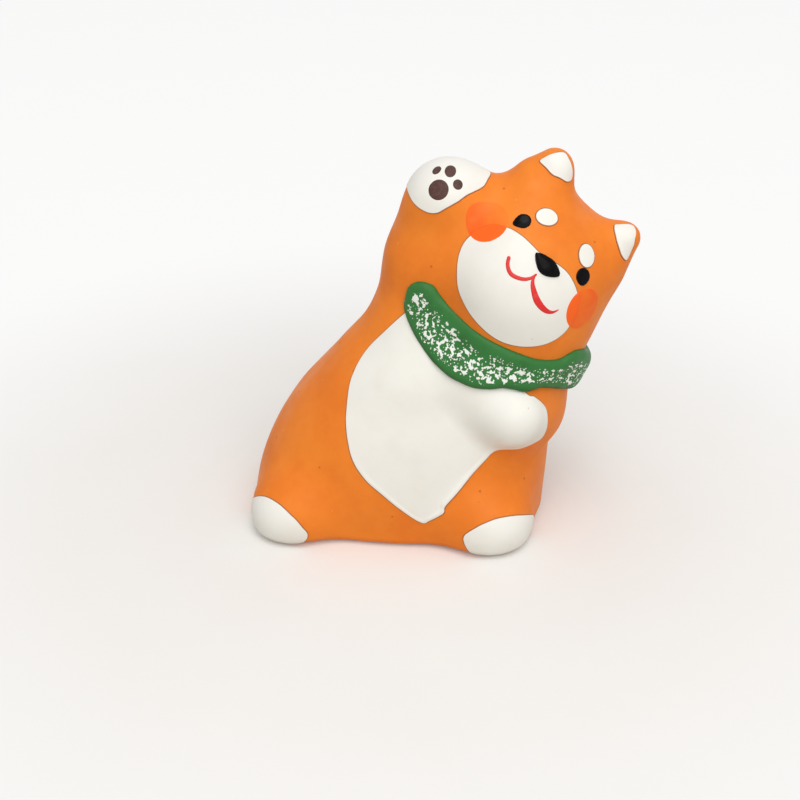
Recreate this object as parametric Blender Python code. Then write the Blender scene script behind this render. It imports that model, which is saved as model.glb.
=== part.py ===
"""A hand-painted pottery dog bending sideways in a stretch, one arm raised beside its head.

The outer form is one blended surface, worked out from the sizes below.  The members are cut
from it where they are luted together, and the paint coats and the scarf lie on it.
Lengths are in millimetres, in a frame with +Z up, the face towards -Y, and the origin at the
middle of the flat base.  The meshes are written in metres.
"""

import math

import bmesh
import bpy
import numpy as np
from mathutils import Vector

METRES = 0.001

# Clearances and thicknesses
GAP = 0.3
PAINT = 0.4
WALL = 3.0
BASE_ROUND = 2.0
DRAIN_DIAMETER = 12.0
DRAIN_BACK = 7.0

# Torso stations, from the base up: height, shift to the side, width and depth
BASE_SHIFT = 0.7
BASE_WIDTH = 55.0
BASE_DEPTH = 36.0
HIP_HEIGHT = 8.0
HIP_SHIFT = 1.7
HIP_WIDTH = 53.8
HIP_DEPTH = 37.2
BELLY_HEIGHT = 18.0
BELLY_SHIFT = 4.2
BELLY_WIDTH = 50.2
BELLY_DEPTH = 35.4
CHEST_HEIGHT = 28.0
CHEST_SHIFT = 9.5
CHEST_WIDTH = 45.0
CHEST_DEPTH = 31.2
SHOULDER_HEIGHT = 38.0
SHOULDER_SHIFT = 18.2
SHOULDER_WIDTH = 30.6
SHOULDER_DEPTH = 26.0
NECK_HEIGHT = 46.0
NECK_SHIFT = 20.0
NECK_WIDTH = 24.0
NECK_DEPTH = 20.0
TORSO_TOP = 43.0
TORSO_TOP_ROUND = 10.0
SQUARENESS = 2.3
SIDE_SLOPE = 0.85

# Head, in its own frame: x to its right in the view, -y out of the face, z to the crown
HEAD_CENTRE = np.array([24.0, -0.5, 49.3])
HEAD_TILT = 41.0
HEAD_TURN = -2.0
HEAD_NOD = 4.0
HEAD_WIDTH = 28.9
HEAD_DEPTH = 26.0
HEAD_HEIGHT = 26.0
MUZZLE_WIDTH = 21.0
MUZZLE_DEPTH = 17.2
MUZZLE_HEIGHT = 18.0
MUZZLE_OUT = 8.0
MUZZLE_DOWN = 3.5
MUZZLE_BLEND = 5.0
EAR_SPREAD = 8.6
EAR_ROOT_HEIGHT = 10.4
EAR_ROOT_RADIUS = 2.2
EAR_TIP_RADIUS = 2.6
LEFT_EAR_TIP = np.array([-8.6, 0.0, 14.7])
RIGHT_EAR_TIP = np.array([8.65, 0.0, 13.8])
EAR_BLEND = 7.5
EAR_SEAT_RISE = 0.9

# Raised arm and paw
ARM_ROOT = np.array([3.5, -1.0, 31.0])
ARM_WRIST = np.array([6.9, -1.5, 50.0])
ARM_ROOT_RADIUS = 9.8
ARM_WRIST_RADIUS = 7.1
ARM_BLEND = 9.0
ARMPIT_OUTER = np.array([-3.4, -1.0, 27.9])
ARMPIT_INNER = np.array([2.2, -1.0, 30.2])
ARMPIT_OUTER_RADIUS = 5.7
ARMPIT_INNER_RADIUS = 4.8
ARMPIT_BLEND = 8.0
PAW_CENTRE = np.array([9.0, -2.0, 60.8])
PAW_WIDTH = 13.6
PAW_DEPTH = 13.6
PAW_HEIGHT = 9.8
PAW_TILT = -28.0
PAW_CORE_RADIUS = 5.0
PAW_BLEND = 4.0
MITTEN_NORMAL = np.array([-0.21, -0.49, 0.84])
MITTEN_OFFSET = 3.2
GROOVE_POINT = np.array([11.2, 0.0, 54.5])
GROOVE_TILT = 31.5

# Folded arm: its elbow is set in from the side and front of the torso, its paw reaches from there
FOLDED_HEIGHT = 23.7
FOLDED_INSET = 6.7
FOLDED_SETBACK = 10.8
FOLDED_REACH = np.array([-2.4, -8.5, 2.3])
FOLDED_ELBOW_RADIUS = 6.9
FOLDED_TIP_RADIUS = 5.7
FOLDED_PAINT_NORMAL = np.array([0.46, -0.88, 0.11])
FOLDED_PAINT_OFFSET = 2.3

# Feet, set in from the sides and front of the base
FOOT_INSET = 9.0
FOOT_SETBACK = 3.2
FOOT_HEIGHT = 3.6
FOOT_WIDTH = 11.9
FOOT_DEPTH = 11.2
FOOT_TALL = 11.0
FOOT_BLEND = 8.0
LEFT_FOOT_NORMAL = np.array([-0.52, -0.83, -0.21])
LEFT_FOOT_OFFSET = 2.2
RIGHT_FOOT_NORMAL = np.array([0.42, -0.74, -0.53])
RIGHT_FOOT_OFFSET = 1.7

# Neck joint and scarf, placed along the spine, which runs from 0 above the base to 1 in the head
SPINE_STRAIGHT = 6.0
NECK_BLEND = 8.0
NECK_AT = 0.77
NECK_TILT = 20.0
SCARF_AT = 0.755
SCARF_LIFT = 0.105
SCARF_LIFT_POWER = 6
SCARF_WIDTH = 8.8
SCARF_THICKNESS = 2.0
SCARF_EDGE_SHARE = 0.3
SCARF_END = 147.0
SCARF_END_ROUND = 12.0
SCARF_END_SHARE = 0.9

# Tail, a curl on the back, sunk a little under the skin
TAIL_CENTRE_X = 5.0
TAIL_CENTRE_Z = 16.0
TAIL_CURL_START = 6.6
TAIL_CURL_END = 3.4
TAIL_TURN = 300.0
TAIL_ROOT_RADIUS = 3.5
TAIL_TIP_RADIUS = 2.2
TAIL_SUNK = 1.4

# Face, in the head's frame
FACE_SHIFT = -0.9
EYE_X = 6.7
EYE_Z = 7.4
EYE_WIDTH = 2.6
EYE_HEIGHT = 2.9
BROW_DIRECTION = 129.0
BROW_WIDTH = 3.3
BROW_HEIGHT = 3.5
BROW_CLEAR = 0.4
CHEEK_DIRECTION = -45.0
CHEEK_RADIUS = 3.6
CHEEK_CLEAR = 0.6
NOSE_Z = 5.7
NOSE_WIDTH = 5.6
NOSE_HEIGHT = 2.7
NOSE_THICKNESS = 1.0
MOUTH_WIDTH = 0.65
MOUTH_END_SHARE = 0.35
MOUTH_LEFT = [(-0.6, 3.7), (-1.3, 2.7), (-2.4, 1.8), (-4.0, 1.3), (-5.3, 1.8), (-6.0, 2.9)]
MOUTH_RIGHT = [(-0.3, 2.9), (0.3, 2.1), (2.0, 1.1), (4.0, 0.7), (5.3, 1.0), (5.9, 1.9)]
MUZZLE_OUTLINE = [
    (-8.7, 5.4), (-4.6, 6.5), (0.5, 7.1), (5.6, 6.2), (8.8, 2.6), (9.2, -2.6),
    (6.6, -6.2), (1.5, -8.7), (-4.1, -8.8), (-9.0, -6.8), (-11.8, -3.4), (-12.0, 1.5),
]
EAR_LINING = [(-1.9, -0.9), (-1.8, 0.6), (-0.3, 1.9), (0.8, 1.5), (2.2, -0.2), (1.6, -0.8), (-0.2, -0.8)]
EAR_LINING_DOWN = 0.2

# Belly coat, seen from the front
BELLY_CENTRE = (6.0, 22.0)
BELLY_OUTLINE = [
    (2.0, 40.0), (-3.4, 34.6), (-6.5, 27.8), (-6.5, 20.5), (-3.4, 14.0), (1.6, 9.6), (6.6, 5.9),
    (9.6, 6.9), (13.6, 12.0), (18.5, 17.6), (22.0, 22.0), (22.0, 32.0), (12.0, 40.0),
]

# Pads on the raised paw: places from the middle of the palm pad, and radii
PALM_FRAME_NOD = -42.0
PALM_PLACE = (-0.9, -0.2)
PALM_RADII = (1.65, 1.7)
TOE_PLACES = [(-1.5, 2.9), (0.7, 3.2), (2.1, 1.7)]
TOE_RADII = [(0.75, 0.65), (0.95, 0.9), (0.75, 0.75)]

# How far rays look for the skin
REACH = 60.0

# Counts of facets and search steps
SKIN_COLUMN_COUNT = 52
STRAIGHT_RING_COUNT = 5
SPINE_RING_COUNT = 15
CROWN_RING_COUNT = 11
CAVITY_COLUMN_COUNT = 32
SEARCH_STEP_COUNT = 90
HALVING_COUNT = 24

# Paint and clay: colour, roughness
FINISHES = {
    "orange_paint": ((0.83, 0.22, 0.03), 0.55),
    "white_paint": ((0.88, 0.86, 0.80), 0.55),
    "green_paint": ((0.035, 0.20, 0.045), 0.6),
    "black_gloss": ((0.005, 0.004, 0.005), 0.15),
    "red_paint": ((0.74, 0.04, 0.03), 0.5),
    "blush_paint": ((0.98, 0.17, 0.025), 0.55),
    "brown_paint": ((0.115, 0.052, 0.04), 0.5),
}


def unit(vector):
    """The vector at length one."""
    vector = np.asarray(vector, float)
    return vector / np.linalg.norm(vector)


def rotation(tilt, turn, nod):
    """Axes of a frame tilted sideways, turned about its height and nodded, in degrees."""
    a, b, c = np.radians([tilt, turn, nod])
    tilted = np.array([[math.cos(a), 0, math.sin(a)], [0, 1, 0], [-math.sin(a), 0, math.cos(a)]])
    turned = np.array([[math.cos(b), -math.sin(b), 0], [math.sin(b), math.cos(b), 0], [0, 0, 1]])
    nodded = np.array([[1, 0, 0], [0, math.cos(c), -math.sin(c)], [0, math.sin(c), math.cos(c)]])
    return tilted @ turned @ nodded


HEAD_AXES = rotation(HEAD_TILT, HEAD_TURN, HEAD_NOD)
HEAD_RADII = np.array([HEAD_WIDTH, HEAD_DEPTH, HEAD_HEIGHT]) / 2
PAW_AXES = rotation(PAW_TILT, 0, 0)
FOOT_SPREAD = BASE_WIDTH / 2 - FOOT_INSET
LEFT_FOOT = np.array([BASE_SHIFT - FOOT_SPREAD, FOOT_SETBACK - BASE_DEPTH / 2, FOOT_HEIGHT])
RIGHT_FOOT = np.array([BASE_SHIFT + FOOT_SPREAD, FOOT_SETBACK - BASE_DEPTH / 2, FOOT_HEIGHT])
STATIONS = np.array([
    [0.0, BASE_SHIFT, BASE_WIDTH, BASE_DEPTH],
    [HIP_HEIGHT, HIP_SHIFT, HIP_WIDTH, HIP_DEPTH],
    [BELLY_HEIGHT, BELLY_SHIFT, BELLY_WIDTH, BELLY_DEPTH],
    [CHEST_HEIGHT, CHEST_SHIFT, CHEST_WIDTH, CHEST_DEPTH],
    [SHOULDER_HEIGHT, SHOULDER_SHIFT, SHOULDER_WIDTH, SHOULDER_DEPTH],
    [NECK_HEIGHT, NECK_SHIFT, NECK_WIDTH, NECK_DEPTH],
])


# The blended form: every function gives a distance, below zero inside

def blend(a, b, size):
    """Union of two distances with a fillet of the given size."""
    near = np.maximum(size - np.abs(a - b), 0) / size
    return np.minimum(a, b) - near * near * size / 4


def trim(a, b, size):
    """Intersection of two distances with a rounded edge of the given size."""
    return -blend(-a, -b, size)


def station_value(height, column):
    """A torso size at each height, on a smooth cubic through the stations."""
    heights, values = STATIONS[:, 0], STATIONS[:, column]
    slopes = np.gradient(values, heights)
    low = np.clip(np.searchsorted(heights, height) - 1, 0, len(heights) - 2)
    span = heights[low + 1] - heights[low]
    t = np.clip((height - heights[low]) / span, 0, 1)
    start = (2 * t ** 3 - 3 * t ** 2 + 1) * values[low] + (t ** 3 - 2 * t ** 2 + t) * span * slopes[low]
    end = (3 * t ** 2 - 2 * t ** 3) * values[low + 1] + (t ** 3 - t ** 2) * span * slopes[low + 1]
    return start + end


def folded_elbow():
    """The elbow of the folded arm, inside the torso's side and front at its height."""
    side = station_value(FOLDED_HEIGHT, 1) + station_value(FOLDED_HEIGHT, 2) / 2
    front = -station_value(FOLDED_HEIGHT, 3) / 2
    return np.array([side - FOLDED_INSET, front + FOLDED_SETBACK, FOLDED_HEIGHT])


FOLDED_ELBOW = folded_elbow()
FOLDED_TIP = FOLDED_ELBOW + FOLDED_REACH


def egg(points, centre, radii, axes=np.eye(3), power=2.0):
    """Distance to an ellipsoid, squarer where the power is above two."""
    local = (points - centre) @ axes
    scaled = np.abs(local / radii)
    level = (scaled ** power).sum(-1) ** (1 / power)
    slope = np.linalg.norm(local / radii ** 2, axis=-1) + 1e-9
    return (level - 1) * (np.linalg.norm(scaled, axis=-1) + 1e-9) / slope


def limb(points, start, end, start_radius, end_radius):
    """Distance to a tapered limb with round ends."""
    along = end - start
    t = np.clip(((points - start) @ along) / (along @ along), 0, 1)
    away = np.linalg.norm(points - start - t[..., None] * along, axis=-1)
    return away - start_radius - (end_radius - start_radius) * t


def torso_form(points):
    """The torso: superellipse sections through the stations, rounded off under the head."""
    height = points[..., 2]
    half_width, half_depth = station_value(height, 2) / 2, station_value(height, 3) / 2
    x = (points[..., 0] - station_value(height, 1)) / half_width
    y = points[..., 1] / half_depth
    level = (np.abs(x) ** SQUARENESS + np.abs(y) ** SQUARENESS) ** (1 / SQUARENESS)
    slope = np.hypot(x / half_width, y / half_depth) / (np.hypot(x, y) + 1e-6)
    side = (level - 1) / np.maximum(slope, 1e-4) * SIDE_SLOPE
    return trim(side, height - TORSO_TOP, TORSO_TOP_ROUND)


def skull_form(points):
    """The head without its muzzle and ears."""
    return egg(points, HEAD_CENTRE, HEAD_RADII, HEAD_AXES, SQUARENESS)


def on_head(place):
    """A place in the head's frame, in the figure's frame."""
    return HEAD_CENTRE + HEAD_AXES @ np.asarray(place, float)


def head_form(points):
    """The head with its muzzle and ears."""
    muzzle_radii = np.array([MUZZLE_WIDTH, MUZZLE_DEPTH, MUZZLE_HEIGHT]) / 2
    muzzle = egg(points, on_head((0, -MUZZLE_OUT, -MUZZLE_DOWN)), muzzle_radii, HEAD_AXES)
    form = blend(skull_form(points), muzzle, MUZZLE_BLEND)
    for side, tip in ((-1, LEFT_EAR_TIP), (1, RIGHT_EAR_TIP)):
        root = on_head((side * EAR_SPREAD, 0, EAR_ROOT_HEIGHT))
        form = blend(form, limb(points, root, on_head(tip), EAR_ROOT_RADIUS, EAR_TIP_RADIUS), EAR_BLEND)
    return form


def arm_form(points):
    """The raised arm, its wrist and paw."""
    arm = limb(points, ARM_ROOT, ARM_WRIST, ARM_ROOT_RADIUS, ARM_WRIST_RADIUS)
    wrist = limb(points, ARM_WRIST, PAW_CENTRE, ARM_WRIST_RADIUS, PAW_CORE_RADIUS)
    paw = egg(points, PAW_CENTRE, np.array([PAW_WIDTH, PAW_DEPTH, PAW_HEIGHT]) / 2, PAW_AXES)
    return blend(arm, blend(paw, wrist, PAW_BLEND), PAW_BLEND)


def body_form(points):
    """The whole casting without the folded arm, standing on its flat base."""
    foot_radii = np.array([FOOT_WIDTH, FOOT_DEPTH, FOOT_TALL]) / 2
    armpit = limb(points, ARMPIT_OUTER, ARMPIT_INNER, ARMPIT_OUTER_RADIUS, ARMPIT_INNER_RADIUS)
    form = blend(torso_form(points), armpit, ARMPIT_BLEND)
    for foot in (LEFT_FOOT, RIGHT_FOOT):
        form = blend(form, egg(points, foot, foot_radii), FOOT_BLEND)
    form = blend(form, blend(head_form(points), arm_form(points), ARM_BLEND), NECK_BLEND)
    return trim(form, -points[..., 2], BASE_ROUND)


def folded_form(points):
    """The folded arm, from its elbow to the tip of its paw."""
    return limb(points, FOLDED_ELBOW, FOLDED_TIP, FOLDED_ELBOW_RADIUS, FOLDED_TIP_RADIUS)


def cavity_form(points):
    """The hollow inside torso and head, a wall away from the skin and from every seat."""
    form = blend(torso_form(points), skull_form(points), NECK_BLEND) + WALL
    seats = ((GROOVE, -1), (LEFT_FOOT_CUT, 1), (RIGHT_FOOT_CUT, 1))
    for (point, normal), side in seats:
        form = np.maximum(form, side * ((points - point) @ normal) + WALL)
    return np.maximum(form, WALL - points[..., 2])


def normals(points, form):
    """Outward directions of a form at points on it, from its differences."""
    step = 0.02
    slope = np.stack([form(points + shift) - form(points - shift) for shift in np.eye(3) * step], -1)
    return slope / np.linalg.norm(slope, axis=-1, keepdims=True)


# The spine: straight up from the base, then one curve into the head

def spine(at):
    """Centre and lean of the spine: -1 to 0 is the straight foot, 0 to 1 the curve.

    The lean eases from upright to the head's tilt, so that cross-sections never meet inside the body.
    """
    at = np.asarray(at, float)
    lean = math.radians(HEAD_TILT)
    axis = np.array([math.sin(lean), 0, math.cos(lean)])
    start = np.array([BASE_SHIFT, 0, SPINE_STRAIGHT])
    end = HEAD_CENTRE * (1, 0, 1)
    bend = end - axis * (end[0] - start[0]) / axis[0]
    t = np.clip(at, 0, None)[..., None]
    centre = (1 - t) ** 2 * start + 2 * t * (1 - t) * bend + t ** 2 * end
    centre = centre + np.minimum(at, 0)[..., None] * (0, 0, SPINE_STRAIGHT)
    share = np.clip(at, 0, 1)
    return centre, lean * share ** 2 * (3 - 2 * share)


def spokes(centre, lean, angle, rise):
    """Directions out of the spine, at an angle round it and a rise above its cross-section."""
    right = np.stack([np.cos(lean), 0 * lean, -np.sin(lean)], -1)
    up = np.stack([np.sin(lean), 0 * lean, np.cos(lean)], -1)
    flat = right * np.cos(angle)[..., None] + np.array([0, 1, 0]) * np.sin(angle)[..., None]
    return flat * np.cos(rise)[..., None] + up * np.sin(rise)[..., None]


def leave(start, way, form):
    """Where rays that start inside a form leave it for the last time."""
    steps = np.linspace(0, REACH, SEARCH_STEP_COUNT)
    inside = form(start[..., None, :] + way[..., None, :] * steps[:, None]) < 0
    low = steps[SEARCH_STEP_COUNT - 1 - np.argmax(inside[..., ::-1], axis=-1)]
    return halve(start, way, form, low, low + steps[1], True)


def enter(start, way, form):
    """Where rays that start outside a form first enter it."""
    steps = np.linspace(0, 2 * REACH, 2 * SEARCH_STEP_COUNT)
    inside = form(start[..., None, :] + way[..., None, :] * steps[:, None]) < 0
    high = steps[np.argmax(inside, axis=-1)]
    return halve(start, way, form, high - steps[1], high, False)


def halve(start, way, form, low, high, low_is_inside):
    """The crossing between two distances along rays, by halving."""
    for _ in range(HALVING_COUNT):
        middle = (low + high) / 2
        same = (form(start + way * middle[..., None]) < 0) == low_is_inside
        low = np.where(same, middle, low)
        high = np.where(same, high, middle)
    return start + way * low[..., None]


def around_spine(form, floor, around):
    """Rings of points where a form's skin meets spokes of the spine, from its floor to its crown."""
    bottom = floor / SPINE_STRAIGHT - 1
    straight = bottom * (1 - np.linspace(0, 1, STRAIGHT_RING_COUNT, endpoint=False) ** 1.7)
    curve = np.linspace(0, 1, SPINE_RING_COUNT, endpoint=False)
    at = np.concatenate([straight, curve, np.ones(CROWN_RING_COUNT)])
    rise = np.concatenate([0 * straight, 0 * curve, np.linspace(0, math.pi / 2, CROWN_RING_COUNT)])
    centre, lean = spine(at)
    centre[0, 2] += 0.01
    angle = np.linspace(0, 2 * math.pi, around, endpoint=False)
    shape = (len(at), around)
    centre = np.broadcast_to(centre[:, None], shape + (3,))
    way = spokes(centre, np.broadcast_to(lean[:, None], shape), np.broadcast_to(angle, shape),
                 np.broadcast_to(rise[:, None], shape))
    rings = leave(centre, way, form)
    rings[0, :, 2] = floor
    return rings


# Meshes

def new_object(name, verts, faces, finish=None):
    """An object from points in millimetres, with its material."""
    mesh = bpy.data.meshes.new(name)
    mesh.from_pydata((np.asarray(verts) * METRES).tolist(), [], faces)
    mesh.validate()
    part = bpy.data.objects.new(name, mesh)
    bpy.context.scene.collection.objects.link(part)
    if finish:
        part.data.materials.append(material(finish))
        mesh.shade_smooth()
        mesh.set_sharp_from_angle(angle=math.radians(40))
    return part


def material(finish):
    """The Principled material of a finish, made once."""
    found = bpy.data.materials.get(finish)
    if found:
        return found
    colour, roughness = FINISHES[finish]
    made = bpy.data.materials.new(finish)
    made.use_nodes = True
    shader = made.node_tree.nodes["Principled BSDF"]
    shader.inputs["Base Color"].default_value = (*colour, 1.0)
    shader.inputs["Roughness"].default_value = roughness
    shader.inputs["Metallic"].default_value = 0.0
    return made


def ring_faces(rings, around, closed_ends=True):
    """Faces between rings of points, with a flat face over each end where the ends are closed."""
    faces = []
    for row in range(rings - 1):
        for column in range(around):
            after = (column + 1) % around
            faces.append((row * around + column, row * around + after,
                          (row + 1) * around + after, (row + 1) * around + column))
    if closed_ends:
        faces.append(tuple(range(around))[::-1])
        faces.append(tuple((rings - 1) * around + column for column in range(around)))
    return faces


def crowned(rings):
    """Points and faces of a skin whose last ring is one point at the crown."""
    count, around = rings.shape[:2]
    verts = np.concatenate([rings[:-1].reshape(-1, 3), rings[-1, :1]])
    faces = ring_faces(count - 1, around, closed_ends=False)
    faces.append(tuple(range(around))[::-1])
    last = (count - 2) * around
    faces += [(last + column, last + (column + 1) % around, len(verts) - 1) for column in range(around)]
    return verts, faces


def disc_slab(low, high):
    """Points and faces of a slab between two discs, each a centre and rings of points outwards."""
    (low_centre, low_rings), (high_centre, high_rings) = low, high
    count, around = low_rings.shape[:2]
    verts = np.concatenate([low_centre[None], low_rings.reshape(-1, 3),
                            high_centre[None], high_rings.reshape(-1, 3)])
    top = 1 + count * around
    faces = []
    for column in range(around):
        after = (column + 1) % around
        faces.append((0, 1 + column, 1 + after))
        faces.append((top, top + 1 + after, top + 1 + column))
        for row in range(count - 1):
            a, b = 1 + row * around, 1 + (row + 1) * around
            faces.append((a + column, b + column, b + after, a + after))
            faces.append((top + a + after, top + b + after, top + b + column, top + a + column))
        rim = 1 + (count - 1) * around
        faces.append((rim + column, top + rim + column, top + rim + after, rim + after))
    return verts, faces


def strip_slab(low, high):
    """Points and faces of a slab between two strips, each rows along by columns across."""
    rows, columns = low.shape[:2]
    verts = np.concatenate([low.reshape(-1, 3), high.reshape(-1, 3)])
    top = rows * columns
    faces = []
    for row in range(rows - 1):
        for column in range(columns - 1):
            a = row * columns + column
            square = (a, a + 1, a + columns + 1, a + columns)
            faces.append(square)
            faces.append(tuple(top + corner for corner in square[::-1]))
    edge = [column for column in range(columns)]
    edge += [row * columns + columns - 1 for row in range(1, rows)]
    edge += [(rows - 1) * columns + column for column in range(columns - 2, -1, -1)]
    edge += [row * columns for row in range(rows - 2, 0, -1)]
    for here, after in zip(edge, edge[1:] + edge[:1]):
        faces.append((here, top + here, top + after, after))
    return verts, faces


def turned_outwards(part):
    """The object, with its faces pointing out."""
    work = bmesh.new()
    work.from_mesh(part.data)
    bmesh.ops.recalc_face_normals(work, faces=work.faces)
    work.to_mesh(part.data)
    work.free()
    return part


def cut(part, planes):
    """The object cut flat: each plane is a point, a normal and the side that stays."""
    work = bmesh.new()
    work.from_mesh(part.data)
    for (point, normal), side in planes:
        seat = (point + normal * side * GAP / 2) * METRES
        everything = work.verts[:] + work.edges[:] + work.faces[:]
        bmesh.ops.bisect_plane(work, geom=everything, dist=1e-7, plane_co=Vector(seat),
                               plane_no=Vector(normal * -side), clear_outer=True)
        open_edges = [edge for edge in work.edges if edge.is_boundary]
        bmesh.ops.holes_fill(work, edges=open_edges, sides=0)
    bmesh.ops.recalc_face_normals(work, faces=work.faces)
    work.to_mesh(part.data)
    work.free()
    return part


def tool(name, verts, faces):
    """A cutter, which isn't a piece of the figure."""
    cutter = turned_outwards(new_object(name, verts, faces))
    cutter.hide_render = True
    cutter.display_type = "WIRE"
    return cutter


def subtract(part, cutter):
    """Cut one object out of another."""
    change = part.modifiers.new(cutter.name, "BOOLEAN")
    change.operation = "DIFFERENCE"
    change.solver = "EXACT"
    change.object = cutter


# Seats: a point and a normal each

def neck_cut():
    """The flat seat of head and raised arm on the torso, under the scarf."""
    centre, _ = spine(NECK_AT)
    lean = math.radians(NECK_TILT)
    return centre, np.array([math.sin(lean), 0, math.cos(lean)])


def groove_cut():
    """The flat seat between the raised arm and the head; its normal points to the head."""
    lean = math.radians(GROOVE_TILT)
    return GROOVE_POINT, np.array([math.cos(lean), 0, -math.sin(lean)])


def ear_cut(tip):
    """The flat seat of an ear, just above the furthest that the skull reaches its way."""
    way = unit(tip)
    dual = SQUARENESS / (SQUARENESS - 1)
    reach = ((HEAD_RADII * np.abs(way)) ** dual).sum() ** (1 / dual)
    return on_head(way * (reach + EAR_SEAT_RISE)), HEAD_AXES @ way


def paint_cut(centre, normal, offset):
    """A flat paint line, square to its normal and offset from a centre."""
    return centre + unit(normal) * offset, unit(normal)


NECK = neck_cut()
GROOVE = groove_cut()
LEFT_EAR_CUT = ear_cut(LEFT_EAR_TIP)
RIGHT_EAR_CUT = ear_cut(RIGHT_EAR_TIP)
LEFT_FOOT_CUT = paint_cut(LEFT_FOOT, LEFT_FOOT_NORMAL, LEFT_FOOT_OFFSET)
RIGHT_FOOT_CUT = paint_cut(RIGHT_FOOT, RIGHT_FOOT_NORMAL, RIGHT_FOOT_OFFSET)
MITTEN_FRONT = paint_cut(PAW_CENTRE, MITTEN_NORMAL, MITTEN_OFFSET)
MITTEN_BACK = paint_cut(PAW_CENTRE, MITTEN_NORMAL * (1, -1, 1), MITTEN_OFFSET)
FOLDED_CUT = paint_cut(FOLDED_TIP, FOLDED_PAINT_NORMAL, FOLDED_PAINT_OFFSET)
ABOVE, BELOW = 1, -1


# Castings

def castings():
    """Torso, head, raised arm, ears and feet, cut from the one skin."""
    verts, faces = crowned(around_spine(body_form, 0.0, SKIN_COLUMN_COUNT))

    def member(name, finish, planes):
        return cut(new_object(name, verts, faces, finish), planes)

    torso = member("torso_casting", "orange_paint",
                   [(NECK, BELOW), (LEFT_FOOT_CUT, BELOW), (RIGHT_FOOT_CUT, BELOW)])
    member("left_foot", "white_paint", [(NECK, BELOW), (LEFT_FOOT_CUT, ABOVE)])
    member("right_foot", "white_paint", [(NECK, BELOW), (RIGHT_FOOT_CUT, ABOVE)])
    head = member("head_casting", "orange_paint",
                  [(NECK, ABOVE), (GROOVE, ABOVE), (LEFT_EAR_CUT, BELOW), (RIGHT_EAR_CUT, BELOW)])
    member("left_ear", "orange_paint", [(NECK, ABOVE), (GROOVE, ABOVE), (LEFT_EAR_CUT, ABOVE)])
    member("right_ear", "orange_paint", [(NECK, ABOVE), (GROOVE, ABOVE), (RIGHT_EAR_CUT, ABOVE)])
    member("raised_arm", "orange_paint",
           [(NECK, ABOVE), (GROOVE, BELOW), (MITTEN_FRONT, BELOW), (MITTEN_BACK, BELOW)])
    paw = member("raised_paw", "white_paint", [(NECK, ABOVE), (GROOVE, BELOW)])
    subtract(paw, wrist_wedge())

    cavity = tool("cavity", *crowned(around_spine(cavity_form, WALL, CAVITY_COLUMN_COUNT)))
    subtract(torso, cavity)
    subtract(head, cavity)
    subtract(torso, drain_hole())


def wrist_wedge():
    """The roof-shaped space below the mitten's paint line, front and back."""
    size = REACH
    corners = [(x, y, z) for x in (-size, size) for y in (-size, size) for z in (-size, size)]
    sides = [(0, 1, 3, 2), (4, 6, 7, 5), (0, 4, 5, 1), (2, 3, 7, 6), (0, 2, 6, 4), (1, 5, 7, 3)]
    wedge = tool("wrist_wedge", np.array(corners) + PAW_CENTRE, sides)
    lifted = [((point + normal * GAP, normal), BELOW) for point, normal in (MITTEN_FRONT, MITTEN_BACK)]
    return cut(wedge, lifted)


def drain_hole():
    """The round hole in the base through which slip drains and the firing breathes."""
    around = 24
    angle = np.linspace(0, 2 * math.pi, around, endpoint=False)
    radius = DRAIN_DIAMETER / 2
    ring = np.stack([radius * np.cos(angle), DRAIN_BACK + radius * np.sin(angle), 0 * angle], -1)
    rings = np.concatenate([ring + (0, 0, -WALL), ring + (0, 0, 2 * WALL)])
    return tool("drain_hole", rings, ring_faces(2, around))


def tube(centres, radii, across, around):
    """Rings round a path, with the given radius at each point and its crosswise directions."""
    along = unit_rows(np.gradient(centres, axis=0))
    side = unit_rows(np.cross(along, across))
    other = np.cross(side, along)
    angle = np.linspace(0, 2 * math.pi, around, endpoint=False)
    ring = side[:, None] * np.cos(angle)[:, None] + other[:, None] * np.sin(angle)[:, None]
    return centres[:, None] + ring * radii[:, None, None]


def unit_rows(vectors):
    """Each row at length one."""
    return vectors / np.linalg.norm(vectors, axis=-1, keepdims=True)


def seat_body():
    """The skin grown by the gap, to cut what is seated on it."""
    grown = around_spine(lambda points: body_form(points) - GAP, 0.0, SKIN_COLUMN_COUNT)
    return tool("seat_body", *crowned(grown))


def folded_arm(seat, scarf_seat):
    """The folded arm and its white paw, seated on the side of the belly under the scarf."""
    rings, around = 12, 24
    turn = np.linspace(-math.pi / 2, math.pi / 2, rings)
    along = FOLDED_TIP - FOLDED_ELBOW
    way = unit(along)
    length = np.linalg.norm(along)
    ball = np.where(turn < 0, FOLDED_ELBOW_RADIUS, FOLDED_TIP_RADIUS)
    places = np.where(turn < 0, 0, length) + ball * np.sin(turn)
    radii = ball * np.maximum(np.cos(turn), 0.02)
    centres = FOLDED_ELBOW + way * places[:, None]
    skin = tube(centres, radii, np.array([0, 0, 1.0]), around).reshape(-1, 3)
    faces = ring_faces(rings, around)
    for name, finish, side in (("folded_arm", "orange_paint", BELOW), ("folded_paw", "white_paint", ABOVE)):
        piece = cut(turned_outwards(new_object(name, skin, faces, finish)), [(FOLDED_CUT, side)])
        subtract(piece, seat)
        subtract(piece, scarf_seat)


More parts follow.
